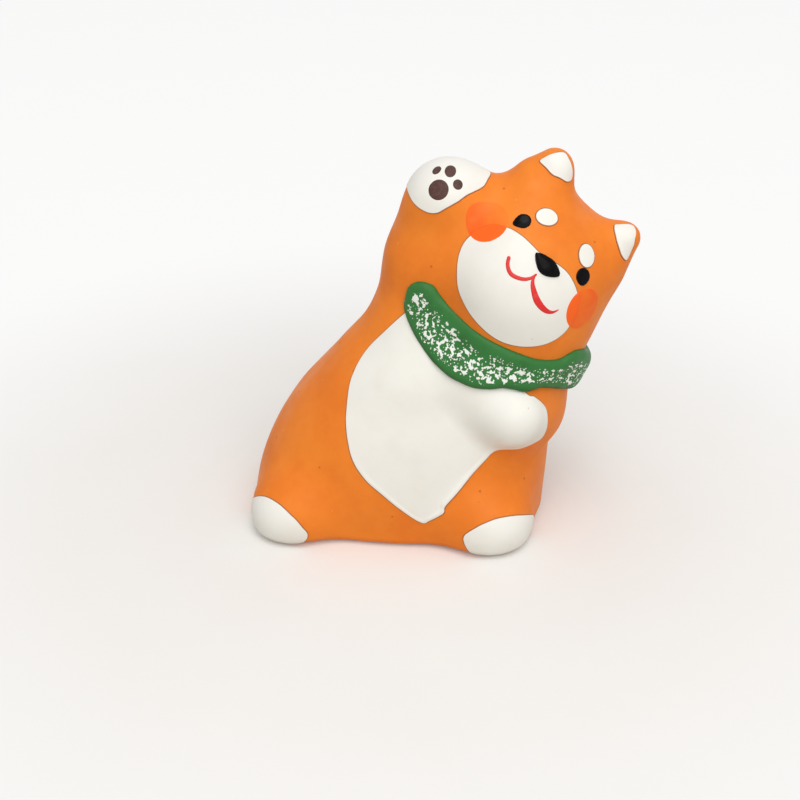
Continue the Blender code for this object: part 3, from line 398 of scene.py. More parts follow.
def blend(a, b, fillet):
    """Union with a fillet: the lesser distance, less a parabola where the two differ by under its size."""
    near = np.maximum(fillet - np.abs(a - b), 0) / fillet
    return np.minimum(a, b) - near * near * fillet / 4


def trim(a, b, fillet):
    """Intersection with a rounded edge: the blend of the two turned inside out, turned back."""
    return -blend(-a, -b, fillet)


def through_knots(x, y, slopes, at):
    """Cubics through knots with the given slopes, held at the first and last knot."""
    low = np.clip(np.searchsorted(x, at) - 1, 0, len(x) - 2)
    span = x[low + 1] - x[low]
    t = np.clip((at - x[low]) / span, 0, 1)
    start = (2 * t ** 3 - 3 * t ** 2 + 1) * y[low] + (t ** 3 - 2 * t ** 2 + t) * span * slopes[low]
    end = (3 * t ** 2 - 2 * t ** 3) * y[low + 1] + (t ** 3 - t ** 2) * span * slopes[low + 1]
    return start + end


def station_value(height, column):
    """A torso size at each height: a cubic through the stations, with the slope of its neighbours at each."""
    heights, values = STATIONS[:, 0], STATIONS[:, column]
    return through_knots(heights, values, np.gradient(values, heights), height)


def egg(points, centre, radii, axes=WORLD_AXES, power=2.0):
    """Ellipsoid, squarer where the power is above two: the point's level less one, over the level's slope."""
    local = (points - centre) @ axes
    scaled = np.abs(local / radii)
    level = (scaled ** power).sum(-1) ** (1 / power)
    slope = np.linalg.norm(local / radii ** 2, axis=-1) + 1e-9
    return (level - 1) * (np.linalg.norm(scaled, axis=-1) + 1e-9) / slope


def limb(points, start, end, start_radius, end_radius):
    """Tapered limb with round ends: distance to its nearest point of the axis, less the radius there."""
    along = end - start
    t = np.clip(((points - start) @ along) / (along @ along), 0, 1)
    away = np.linalg.norm(points - start - t[..., None] * along, axis=-1)
    return away - start_radius - (end_radius - start_radius) * t


def torso_form(points):
    """Torso: superellipse sections through the stations, rounded off under the head.

    The distance is shortened for the slant of the sides.
    """
    height = points[..., 2]
    half_width, half_depth = station_value(height, 2) / 2, station_value(height, 3) / 2
    x = (points[..., 0] - station_value(height, 1)) / half_width
    y = points[..., 1] / half_depth
    level = (np.abs(x) ** SQUARENESS + np.abs(y) ** SQUARENESS) ** (1 / SQUARENESS)
    slope = np.hypot(x / half_width, y / half_depth) / (np.hypot(x, y) + 1e-6)
    return trim((level - 1) / np.maximum(slope, 1e-4) * TORSO_LEAN, height - TORSO_TOP, TORSO_TOP_ROUND)


def skull_form(points):
    """Head without muzzle and ears: a squarish egg."""
    return egg(points, HEAD_CENTRE, HEAD_RADII, HEAD_AXES, SQUARENESS)


def head_form(points):
    """Head: the skull blended with an egg for the muzzle and a limb for each ear."""
    muzzle = egg(points, on_head(MUZZLE_PLACE), MUZZLE_RADII, HEAD_AXES)
    form = blend(skull_form(points), muzzle, MUZZLE_BLEND)
    for root, tip, root_radius, tip_radius in EARS:
        form = blend(form, limb(points, on_head(root), on_head(tip), root_radius, tip_radius), EAR_BLEND)
    return form


def arm_form(points):
    """Raised arm: two limbs and the egg of the paw, blended."""
    arm = limb(points, ARM_ROOT, ARM_WRIST, ARM_ROOT_RADIUS, ARM_WRIST_RADIUS)
    wrist = limb(points, ARM_WRIST, PAW_CENTRE, ARM_WRIST_RADIUS, PAW_CORE_RADIUS)
    paw = egg(points, PAW_CENTRE, PAW_RADII, PAW_AXES)
    return blend(arm, blend(paw, wrist, PAW_BLEND), PAW_BLEND)


def unevenness(points):
    """Hand-made unevenness between -1 and 1: the mean of three slow waves along slanted directions."""
    x, y, z = points[..., 0], points[..., 1], points[..., 2]
    waves = np.sin(0.52 * x + 0.31 * y + 0.20 * z + 1.1) + np.sin(0.17 * x - 0.44 * y + 0.58 * z + 4.0)
    return (waves + np.sin(-0.33 * x + 0.27 * y + 0.71 * z + 2.3)) / 3


def dog_form(points, fold=FOLDED_BLEND):
    """The whole clay form: every member blended, made a little uneven and cut flat at the base.

    The members are the torso with its filled armpit, the feet, the head, the raised arm and the folded arm.
    The folded arm's paw fades into the chest along a second limb.
    """
    armpit = limb(points, ARMPIT_OUTER, ARMPIT_INNER, ARMPIT_OUTER_RADIUS, ARMPIT_INNER_RADIUS)
    form = blend(torso_form(points), armpit, ARMPIT_BLEND)
    for foot in (LEFT_FOOT, RIGHT_FOOT):
        form = blend(form, egg(points, foot, FOOT_RADII), FOOT_BLEND)
    form = blend(form, blend(head_form(points), arm_form(points), ARM_BLEND), NECK_BLEND)
    folded = limb(points, FOLDED_ELBOW, FOLDED_TIP, FOLDED_ELBOW_RADIUS, FOLDED_TIP_RADIUS)
    rise = limb(points, FOLDED_TIP, FOLDED_FADE, FOLDED_TIP_RADIUS, FOLDED_FADE_RADIUS)
    form = blend(form, np.minimum(folded, rise), fold)
    form = form + size("wobble") * unevenness(points)
    return trim(form, -points[..., 2], BASE_ROUND)


def draped_form(points):
    """The clay as the scarf meets it: the crease beside the folded arm is filled a little more."""
    return dog_form(points, SCARF_FOLD_BLEND)


def hollow_form(points):
    """The hollow inside torso and head, a wall thinner than them all round."""
    inner = blend(torso_form(points), skull_form(points), NECK_BLEND) + WALL
    return np.maximum(inner, WALL - points[..., 2])


def normals(points, form=dog_form):
    """Outward directions of a form at points on it: the differences of its distance, at length one."""
    shifts = WORLD_AXES * NORMAL_STEP
    return unit(np.stack([form(points + shift) - form(points - shift) for shift in shifts], -1))


# The skin: a function of the place along the spine and the angle round it

def spine(at):
    """Centre, right and up of the spine: straight below 0, then to 1 a parabola along the head's height.

    The lean eases from upright to the head's tilt, so that cross-sections never meet inside the body.
    """
    lean = math.radians(HEAD_TILT)
    axis = np.array([math.sin(lean), 0, math.cos(lean)])
    end = HEAD_CENTRE * (1, 0, 1)
    bend = end - axis * (end[0] - SPINE_START[0]) / axis[0]
    t = np.clip(at, 0, 1)[..., None]
    centre = (1 - t) ** 2 * SPINE_START + 2 * t * (1 - t) * bend + t ** 2 * end
    centre = centre + np.minimum(at, 0)[..., None] * (0, 0, SPINE_RATE)
    share = np.clip(at, 0, 1)
    ease = lean * share ** 2 * (3 - 2 * share)
    up = np.stack([np.sin(ease), 0 * ease, np.cos(ease)], -1)
    right = np.stack([up[..., 2], 0 * at, -up[..., 0]], -1)
    return centre, right, up


def rays(at, angle):
    """Starts and directions of the rays that meet the skin: square to the spine, past its end in a dome."""
    centre, right, up = spine(at)
    rise = np.clip(at - 1, 0, None)[..., None] * DOME_RATE
    flat = right * np.cos(angle)[..., None] + np.array([0, 1, 0]) * np.sin(angle)[..., None]
    return centre, flat * np.cos(rise) + up * np.sin(rise)


def halve(start, way, low, high, form, low_is_inside):
    """The crossing between two distances along rays, by halving."""
    for _ in range(HALVINGS):
        middle = (low + high) / 2
        same = (form(start + way * middle[..., None]) < 0) == low_is_inside
        low = np.where(same, middle, low)
        high = np.where(same, high, middle)
    return start + way * low[..., None]


def skin(at, angle, form=dog_form):
    """Points of the skin: each ray out of the spine, followed to where it leaves the form."""
    at, angle = np.broadcast_arrays(np.asarray(at, float), np.asarray(angle, float))
    start, way = rays(at, angle)
    return halve(start, way, np.zeros(at.shape), np.full(at.shape, REACH), form, True)


def places(points):
    """Place along the spine and angle round it of points near the skin, the inverse of the skin's rays."""
    points = np.asarray(points, float)
    low, high = np.full(points.shape[:-1], SPINE_FOOT), np.ones(points.shape[:-1])
    for _ in range(HALVINGS):
        middle = (low + high) / 2
        centre, _, up = spine(middle)
        above = ((points - centre) * up).sum(-1) > 0
        low, high = np.where(above, middle, low), np.where(above, high, middle)
    end, _, up = spine(np.ones(points.shape[:-1]))
    height = ((points - end) * up).sum(-1) / np.linalg.norm(points - end, axis=-1)
    at = np.where(height > 0, 1 + np.arcsin(np.clip(height, 0, 1)) / DOME_RATE, low)
    centre, right, _ = spine(at)
    angle = np.arctan2(points[..., 1], ((points - centre) * right).sum(-1)) % (2 * math.pi)
    return np.stack([at, angle], -1)


def facing(spots, origin, axes, front=HEAD_FRONT):
    """Points where rays along a frame's y, from in front of it, first meet the clay at spots across it."""
    local = np.stack([spots[..., 0], np.full(spots.shape[:-1], -front), spots[..., 1]], -1)
    start = origin + local @ axes.T
    way = np.broadcast_to(axes[:, 1], start.shape)
    steps = np.linspace(0, 2 * front, FACING_STEPS)
    inside = dog_form(start[..., None, :] + way[..., None, :] * steps[:, None]) < 0
    high = steps[np.argmax(inside, axis=-1)]
    return halve(start, way, high - steps[1], high, dog_form, False)


def tangent_frame(point, across):
    """A frame on the clay: x along a direction laid flat on it, y into it, and z the rest."""
    normal = normals(point)
    side = unit(across - normal * (across @ normal))
    return point, np.stack([side, -normal, np.cross(side, -normal)], -1)


# Outlines

def smooth_between(before, start, end, after, t):
    """A cubic from start to end: the slope at each is half the step between the points beside it."""
    bend = 2 * before - 5 * start + 4 * end - after
    twist = 3 * start - before - 3 * end + after
    return 0.5 * (2 * start + (end - before) * t + bend * t ** 2 + twist * t ** 3)


def closed_curve(points, count):
    """A smooth closed curve through a few points, in any number of coordinates."""
    points = np.asarray(points, float)
    place = np.linspace(0, len(points), count, endpoint=False)
    index = place.astype(int)
    corners = (points[(index + shift) % len(points)] for shift in (-1, 0, 1, 2))
    return smooth_between(*corners, (place - index)[:, None])


def open_curve(points, count):
    """A smooth open curve through a few points, up to just short of the last; the end points are doubled."""
    points = np.asarray(points, float)
    place = np.linspace(0, len(points) - 1.0001, count)
    index = place.astype(int)
    padded = np.concatenate([points[:1], points, points[-1:]])
    return smooth_between(*(padded[index + shift] for shift in range(4)), (place - index)[:, None])


def monotone(knots, at):
    """A curve through knots that never overshoots: slopes are harmonic means of the two beside a knot."""
    x, y = knots[:, 0], knots[:, 1]
    rise = np.diff(y) / np.diff(x)
    both = rise[:-1] * rise[1:]
    inner = np.where(both > 0, 2 * both / np.where(both > 0, rise[:-1] + rise[1:], 1), 0)
    return through_knots(x, y, np.concatenate([rise[:1], inner, rise[-1:]]), at)


def oval(radii, turn, count, point=0.0):
    """An ellipse turned by degrees, drawn out to a point at one end of its long axis."""
    angle = np.linspace(0, 2 * math.pi, count, endpoint=False)
    tip = np.clip(-np.cos(angle), 0, 1)
    x = radii[0] * (np.cos(angle) - point * tip ** 6)
    y = radii[1] * np.sin(angle) * (1 - point * tip)
    cosine, sine = math.cos(math.radians(turn)), math.sin(math.radians(turn))
    return np.stack([x * cosine - y * sine, x * sine + y * cosine], -1)


def hand_drawn(outline, amount, seed):
    """An outline with the small unevenness of a brush: waves of 7, 13, 23 and 41 to the round, in and out."""
    turn = np.linspace(0, 2 * math.pi, len(outline), endpoint=False)
    waves = sum(np.sin(count * turn + seed * count) / math.sqrt(count) for count in (7, 13, 23, 41))
    middle = outline.mean(0)
    return middle + (outline - middle) * (1 + amount * waves)[:, None]


def arched(across):
    """A half circle: one in the middle, zero from one outwards."""
    return np.sqrt(np.clip(1 - across ** 2, 0, 1))


def rounded(share):
    """A quarter circle: zero at zero, one from one onwards."""
    return arched(1 - np.clip(share, 0, 1))


def over_and_under(top, under):
    """Steps across a ridge and straight back underneath it, and which of them are on top."""
    steps = np.concatenate([top, np.linspace(top[-1], top[0], under)[1:-1]])
    return steps, np.arange(len(steps)) < len(top)


# Meshes

def size(name):
    """A size that can be changed, in millimetres."""
    return getattr(bpy.context.scene.dog_sizes, name) / METRES


def tint(name):
    """A colour that can be changed, with full alpha."""
    return (*getattr(bpy.context.scene.dog_colours, name), 1.0)


def closed_grid(name, rings, values):
    """An object from rings of points that close in a pole at both ends, with values for its shader.

    Neighbouring rings are joined by quads and each pole by a fan, and all faces are turned round if the
    volume that they enclose comes out negative.
    """
    rows, columns = rings.shape[:2]
    verts = np.concatenate([rings[0].mean(0)[None], rings[1:-1].reshape(-1, 3), rings[-1].mean(0)[None]])
    first = 1 + np.arange(columns)
    after = 1 + (np.arange(columns) + 1) % columns
    down = (np.arange(rows - 3) * columns)[:, None]
    corners = [down + first, down + after, down + columns + after, down + columns + first]
    quads = np.stack(corners, -1).reshape(-1, 4)
    last = (rows - 3) * columns
    start_fan = np.stack([np.zeros(columns, int), after, first], -1)
    end_fan = np.stack([np.full(columns, len(verts) - 1), last + first, last + after], -1)
    start, right, _, below = np.moveaxis(verts[quads], 1, 0)
    volume = (np.cross(right - start, below - start) * start).sum()
    way = 1 if volume > 0 else -1
    faces = quads[:, ::way].tolist() + start_fan[:, ::way].tolist() + end_fan[:, ::way].tolist()
    mesh = bpy.data.meshes.new(name)
    mesh.from_pydata((verts * METRES).tolist(), [], faces)
    mesh.shade_smooth()
    for label, value in values.items():
        field = mesh.attributes.new(label, "FLOAT", "POINT")
        flat = np.concatenate([[value[0].mean()], value[1:-1].ravel(), [value[-1].mean()]])
        field.data.foreach_set("value", flat.astype(np.float32))
    piece = bpy.data.objects.new(name, mesh)
    bpy.context.scene.collection.objects.link(piece)
    return piece


def settle(piece, make, slot, *nodes):
    """Gives a piece its finish and its body, and hides the imported parts of the nodes that it stands for;
    its slot is not used.
    """
    piece.data.materials.append(bpy.data.materials.get(make.__name__) or make())
    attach(piece, "root")
    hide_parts(*nodes)


def coat_rings(spots, grid, thickness, lip, dome=0.0, relief=None, ground=None):
    """Rings of a coat of paint: spokes from its middle to its outline, over the top and back underneath.

    A row is a share of the spoke and a height above the clay.  The top keeps its thickness, or falls from a
    dome, to a lip of a quarter ellipse; the underside lies a little below the clay.  Relief adds to the top
    by the distance from the edge, and ground by what already lies on the clay.
    """
    columns, rows = grid
    # The length of each spoke, judged by its outer tenth
    ends, inner = spots(np.array([[1.0], [0.9]]) * np.ones(columns))
    reach = np.linalg.norm(ends - inner, axis=-1) / 0.1
    turn = np.linspace(0, math.pi / 2, LIP_ROWS)[:, None]
    top = np.linspace(0, 1, rows)[:, None] * (1 - lip / reach)
    edge = 1 - lip * (1 - np.sin(turn[1:])) / reach
    under = np.linspace(1, 0, rows // 2 + 2)[:, None] * np.ones(columns)
    share = np.concatenate([top, edge, under])
    level = thickness * (1 - dome + dome * arched(top))
    rim = thickness * (1 - dome) * np.cos(turn[1:]) * np.ones(columns)
    height = np.concatenate([level, rim, np.full(under.shape, -COAT_SINK)])
    points = spots(share)
    away = (1 - share) * reach
    shown = np.concatenate([np.ones((rows + len(edge), 1)), np.zeros((len(under), 1))])
    if relief is not None:
        height = height + shown * relief(away)
    if ground is not None:
        height = height + shown * ground(points)
    rings = points + normals(points) * height[..., None]
    rings[..., 2] = np.maximum(rings[..., 2], LOWEST)
    return rings, {"edge_mm": away * shown - (1 - shown)}


def paint(name, make, slot, nodes, *coat, **forms):
    """A coat of paint as a piece: its name, finish, slot (not used) and nodes, then what its rings need."""
    settle(closed_grid(name, *coat_rings(*coat, **forms)), make, slot, *nodes)


# Materials

def feed(tree, socket, value):
    """Links a socket to another one, or sets its value."""
    if isinstance(value, bpy.types.NodeSocket):
        tree.links.new(value, socket)
    else:
        socket.default_value = value


def add(tree, kind, inputs=None, **settings):
    """A node with its settings, its inputs set to values or linked to sockets."""
    made = tree.nodes.new(kind)
    for name, value in settings.items():
        setattr(made, name, value)
    for name, value in (inputs or {}).items():
        feed(tree, made.inputs[name], value)
    return made


def painted(name, roughness, specular, clear=0.0):
    """A new material: itself, its node tree, its shader and the object coordinates in metres."""
    made = bpy.data.materials.new(name)
    made.use_nodes = True
    tree = made.node_tree
    shader = tree.nodes["Principled BSDF"]
    shader.inputs["Roughness"].default_value = roughness
    shader.inputs["Specular IOR Level"].default_value = specular
    shader.inputs["Coat Weight"].default_value = clear
    shader.inputs["Coat Roughness"].default_value = 0.12
    place = add(tree, "ShaderNodeTexCoord").outputs["Object"]
    return made, tree, shader, place


def noise(tree, place, millimetres, detail=3.0, rough=0.55):
    """Noise whose largest features have the given size."""
    inputs = {"Vector": place, "Scale": 1 / (millimetres * METRES), "Detail": detail, "Roughness": rough}
    return add(tree, "ShaderNodeTexNoise", inputs).outputs["Fac"]


def band(tree, value, low, high, to_low=0.0, to_high=1.0):
    """A value carried smoothly from one range to another and held there."""
    inputs = {"Value": value, "From Min": low, "From Max": high, "To Min": to_low, "To Max": to_high}
    return add(tree, "ShaderNodeMapRange", inputs, interpolation_type="SMOOTHSTEP").outputs["Result"]


def mix(tree, share, a, b):
    """One colour carried into another by a share."""
    return add(tree, "ShaderNodeMix", {0: share, 6: a, 7: b}, data_type="RGBA").outputs[2]


def times(tree, a, b):
    """Two values multiplied."""
    return add(tree, "ShaderNodeMath", {0: a, 1: b}, operation="MULTIPLY").outputs[0]


def plus(tree, a, b):
    """Two values added."""
    return add(tree, "ShaderNodeMath", {0: a, 1: b}, operation="ADD").outputs[0]


def larger(tree, a, b):
    """The larger of two values."""
    return add(tree, "ShaderNodeMath", {0: a, 1: b}, operation="MAXIMUM").outputs[0]


def attribute(tree, name):
    """A value kept on the mesh."""
    return add(tree, "ShaderNodeAttribute", attribute_name=name).outputs["Fac"]


def specks(tree, place, millimetres, share, radius):
    """Sparse specks, each in a cell of a pattern.

    A share of the cells have one, by the cell's random value, round the middle of the cell.
    """
    inputs = {"Vector": place, "Scale": 1 / (millimetres * METRES), "Randomness": 1.0}
    cells = add(tree, "ShaderNodeTexVoronoi", inputs)
    chosen = add(tree, "ShaderNodeSeparateColor", {"Color": cells.outputs["Color"]}).outputs["Red"]
    few = band(tree, chosen, 1 - share, 1 - share + 0.01)
    near = band(tree, cells.outputs["Distance"], radius, radius * 0.6)
    return times(tree, few, near)


def base_colour(tree, shader, value):
    """Gives a shader its colour."""
    feed(tree, shader.inputs["Base Color"], value)


def uneven_gloss(tree, shader, place, millimetres, low, high):
    """Roughness that wanders between two values with noise of the given size."""
    feed(tree, shader.inputs["Roughness"], band(tree, noise(tree, place, millimetres), 0.3, 0.7, low, high))


def bump(tree, shader, height, millimetres, strength):
    """Fine relief of the given depth on a shader."""
    inputs = {"Height": height, "Distance": millimetres * METRES, "Strength": strength}
    feed(tree, shader.inputs["Normal"], add(tree, "ShaderNodeBump", inputs).outputs["Normal"])


def seen_directly(tree):
    """One for what the camera sees itself, by reflection or through glass, zero for light on a surface."""
    path = add(tree, "ShaderNodeLightPath")
    seen = larger(tree, path.outputs["Is Camera Ray"], path.outputs["Is Glossy Ray"])
    return larger(tree, seen, path.outputs["Is Transmission Ray"])


# Finishes, each named as its material is

def orange_paint_finish():
    """Matte orange brushed on clay: two oranges mottled together, with pinholes and pale specks.

    Bare clay shows where the mesh's clay value, made ragged by noise, is high: underneath and inside.
    """
    made, tree, shader, place = painted("orange_paint_finish", roughness=0.5, specular=0.2)
    broad = times(tree, noise(tree, place, 14.0, detail=2.0), 0.7)
    small = times(tree, noise(tree, place, 2.2, detail=4.0, rough=0.65), 0.3)
    mottle = band(tree, plus(tree, broad, small), 0.36, 0.66)
    pinholes = specks(tree, place, 1.9, share=0.10, radius=0.16)
    grains = specks(tree, place, 1.5, share=0.05, radius=0.13)
    coat = mix(tree, mottle, tint("orange"), tint("deep_orange"))
    coat = mix(tree, times(tree, pinholes, 0.55), coat, tint("pinhole"))
    coat = mix(tree, times(tree, grains, 0.5), coat, tint("grain"))
    grit = noise(tree, place, 0.9, detail=4.0, rough=0.7)
    clay = mix(tree, grit, tint("clay"), tint("dark_clay"))
    smear = plus(tree, attribute(tree, "clay"), times(tree, noise(tree, place, 3.0), 0.5))
    base_colour(tree, shader, mix(tree, band(tree, smear, 0.72, 0.80), coat, clay))
    uneven_gloss(tree, shader, place, 5.0, 0.44, 0.58)
    ripple = times(tree, noise(tree, place, 1.1, detail=4.0, rough=0.6), 0.8)
    bump(tree, shader, plus(tree, ripple, times(tree, pinholes, -0.6)), 0.035, strength=0.6)
    return made


def white_paint_finish():
    """Thick matte white: cream where it lies thin, a fine line of painted shade at its edge, brush marks all
    over.
    """
    made, tree, shader, place = painted("white_paint_finish", roughness=0.45, specular=0.2)
    thin = band(tree, noise(tree, place, 7.0), 0.45, 0.72)
    dust = specks(tree, place, 1.9, share=0.03, radius=0.10)
    # Painted shade: the lip of the coat, within about 0.15 mm of its edge, takes the edge colour in place of
    # the crease's shade
    rim = band(tree, attribute(tree, "edge_mm"), 0.25, 0.15)
    coat = mix(tree, times(tree, thin, 0.55), tint("white"), tint("cream"))
    coat = mix(tree, times(tree, dust, 0.35), coat, tint("dust"))
    base_colour(tree, shader, mix(tree, times(tree, rim, 0.95), coat, tint("edge")))
    uneven_gloss(tree, shader, place, 3.0, 0.36, 0.5)
    bump(tree, shader, noise(tree, place, 1.8, detail=4.0, rough=0.6), 0.05, strength=0.5)
    return made


def scarf_finish():
    """Green scarf with sponged flecks: noise cut off sharply, and dots, both inside a cloudy middle.

    The pattern is drawn out along the depth, so that the flecks keep their size on the rounded front.
    """
    made, tree, shader, place = painted("scarf_finish", roughness=0.5, specular=0.25)
    across = attribute(tree, "across")
    place = add(tree, "ShaderNodeMapping", {"Vector": place, "Scale": (1.0, 0.5, 1.0)}).outputs["Vector"]
    wander = plus(tree, times(tree, noise(tree, place, 3.0), 0.24), -0.12)
    height = plus(tree, across, wander)
    middle = times(tree, band(tree, height, 0.08, 0.19), band(tree, height, 0.90, 0.70))
    cloud = band(tree, noise(tree, place, 4.0, rough=0.6), 0.34, 0.60, 0.76, 1.0)
    inset = band(tree, attribute(tree, "inset"), 0.75, 0.98)
    share = times(tree, times(tree, middle, cloud), inset)
    large = times(tree, noise(tree, place, 0.74, detail=2.0, rough=0.5), 0.85)
    small = times(tree, noise(tree, place, 0.36, detail=2.0, rough=0.5), 0.15)
    blot = plus(tree, large, small)
    blots = band(tree, plus(tree, blot, times(tree, share, 0.22)), 0.738, 0.756)
    fine_dots = specks(tree, place, 0.42, share=0.50, radius=0.32)
    dots = larger(tree, fine_dots, specks(tree, place, 0.70, share=0.38, radius=0.30))
    dots = times(tree, dots, band(tree, share, 0.18, 0.45))
    fleck = times(tree, larger(tree, blots, dots), band(tree, middle, 0.02, 0.08))
    # Painted shade along the scarf's lower edge, together with a random darker mottle, both in the deep green
    from_edge = plus(tree, across, times(tree, noise(tree, place, 2.5), 0.1))
    mottle = band(tree, noise(tree, place, 3.0, detail=4.0), 0.50, 0.75, 0.0, 0.6)
    shade = larger(tree, band(tree, from_edge, 0.16, 0.04), mottle)
    green = mix(tree, shade, tint("green"), tint("deep_green"))
    base_colour(tree, shader, mix(tree, fleck, green, tint("fleck")))
    uneven_gloss(tree, shader, place, 2.0, 0.40, 0.58)
    bump(tree, shader, plus(tree, fleck, times(tree, blot, 0.5)), 0.07, strength=0.7)
    return made


def gloss_black_finish():
    """Glossy black enamel with faint unevenness."""
    made, tree, shader, place = painted("gloss_black_finish", roughness=0.16, specular=0.07)
    thin = band(tree, noise(tree, place, 1.2, detail=4.0), 0.4, 0.7)
    base_colour(tree, shader, mix(tree, thin, tint("black"), tint("thin_black")))
    uneven_gloss(tree, shader, place, 1.5, 0.12, 0.20)
    bump(tree, shader, noise(tree, place, 0.9), 0.05, strength=0.4)
    return made


def red_paint_finish():
    """Red brush strokes, paler where the brush ran dry."""
    made, tree, shader, place = painted("red_paint_finish", roughness=0.4, specular=0.3, clear=0.1)
    dry = band(tree, noise(tree, place, 0.8, detail=4.0), 0.50, 0.78)
    base_colour(tree, shader, mix(tree, dry, tint("red"), tint("dry_red")))
    bump(tree, shader, noise(tree, place, 0.6), 0.04, strength=0.5)
    return made


def blush_paint_finish():
    """Thin reddish wash: brighter over white than over orange, and fading into the orange on one side."""
    made, tree, shader, place = painted("blush_paint_finish", roughness=0.5, specular=0.2)
    pool = band(tree, noise(tree, place, 3.2), 0.42, 0.70)
    wash = mix(tree, times(tree, pool, 0.35), tint("blush"), tint("orange"))
    wash = mix(tree, times(tree, attribute(tree, "fade"), 0.70), wash, tint("orange"))
    base_colour(tree, shader, mix(tree, attribute(tree, "over_white"), wash, tint("bright_blush")))
    bump(tree, shader, noise(tree, place, 1.1, detail=4.0), 0.03, strength=0.5)
    return made


def brown_paint_finish():
    """Dark brown pads, darker round their rims."""
    made, tree, shader, place = painted("brown_paint_finish", roughness=0.5, specular=0.25)
    thin = band(tree, noise(tree, place, 0.9, detail=4.0), 0.40, 0.72)
    rim = band(tree, attribute(tree, "edge_mm"), 0.22, 0.04)
    coat = mix(tree, thin, tint("brown"), tint("pale_brown"))
    base_colour(tree, shader, mix(tree, times(tree, rim, 0.7), coat, tint("dark_brown")))
    bump(tree, shader, noise(tree, place, 0.7, detail=4.0), 0.04, strength=0.6)
    return made


def floor_finish():
    """Paper-like floor: a cloudy pale colour where it is seen, a darker one for the light it throws back.

    Where it is seen, it goes over into plain white with the distance from the figure.
    """
    made, tree, shader, place = painted("floor_finish", roughness=0.9, specular=0.1)
    seen = seen_directly(tree)
    paper = mix(tree, noise(tree, place, 30.0), tint("floor"), tint("floor_shade"))
    base_colour(tree, shader, mix(tree, seen, tint("floor_light"), paper))
    bright = add(tree, "ShaderNodeEmission", {"Color": (1, 1, 1, 1), "Strength": 1.0})
    away = add(tree, "ShaderNodeVectorMath", {0: place}, operation="LENGTH").outputs["Value"]
    share = times(tree, seen, band(tree, away, *FLOOR_FADE, *FLOOR_PALENESS))
    pale = add(tree, "ShaderNodeMixShader", {0: share, 1: shader.outputs[0], 2: bright.outputs[0]})
    feed(tree, tree.nodes["Material Output"].inputs["Surface"], pale.outputs[0])
    return made


# Pieces

class ClayBody(bpy.types.Operator):
    """The clay: the skin from crown to base, in through the drain hole and up the hollow."""

    bl_idname = "dog.clay_body"
    bl_label = "Clay body"

    columns = 288
    dome_rows, body_rows, foot_rows = 108, 150, 26
    hollow_rows, hollow_dome_rows = 30, 9
    foot_crowding = 1.7
    base_shares = (0.03, 0.12, 0.3, 0.5, 0.7, 0.85, 0.95, 1.0)
    hole_lip, hollow_lip = 0.4, 0.3

    def execute(self, context):
        angle = np.linspace(0, 2 * math.pi, self.columns, endpoint=False)
        dome = np.linspace(DOME_TOP, 1, self.dome_rows, endpoint=False)
        body = np.linspace(1, 0, self.body_rows, endpoint=False)
        crowded = 1 - np.linspace(1, 0, self.foot_rows) ** self.foot_crowding
        foot = SPINE_FOOT * (1 - CLEAR) * crowded
        outer = skin(np.concatenate([dome, body, foot])[:, None], angle)
        outer[-1, :, 2] = 0.0
        base = self.base(outer[-1], angle)
        floor = SPINE_FOOT + WALL / SPINE_RATE + CLEAR
        hollow_dome = np.linspace(1, DOME_TOP, self.hollow_dome_rows)[1:]
        inside = np.concatenate([np.linspace(floor, 1, self.hollow_rows), hollow_dome])
        rings = np.concatenate([outer, base, skin(inside[:, None], angle, hollow_form)])
        bare = np.zeros(rings.shape[:2])
        bare[len(outer):len(outer) + 2] = 0.5
        bare[len(outer) + 2:] = 1
        settle(closed_grid("clay_body", rings, {"clay": bare}), orange_paint_finish, "orange_paint",
               "torso_casting", "head_casting", "raised_arm", "folded_arm", "left_ear", "right_ear")
        return {"FINISHED"}

    def base(self, rim, angle):
        """Rings of the flat base, from its rim to the drain hole and up through the wall."""
        circle = np.stack([np.cos(angle), np.sin(angle), 0 * angle], -1)
        middle = np.array([*DRAIN_CENTRE, 0])
        hole = middle + circle * (DRAIN_RADIUS + self.hole_lip)
        flat = rim + (hole - rim) * np.array(self.base_shares)[:, None, None]
        heights = np.array([self.hole_lip, WALL / 2, WALL - self.hollow_lip])
        wall = middle + circle * DRAIN_RADIUS + heights[:, None, None] * (0, 0, 1)
        lip = middle + circle * (DRAIN_RADIUS + self.hollow_lip) + (0, 0, WALL)
        return np.concatenate([flat, wall, lip[None]])


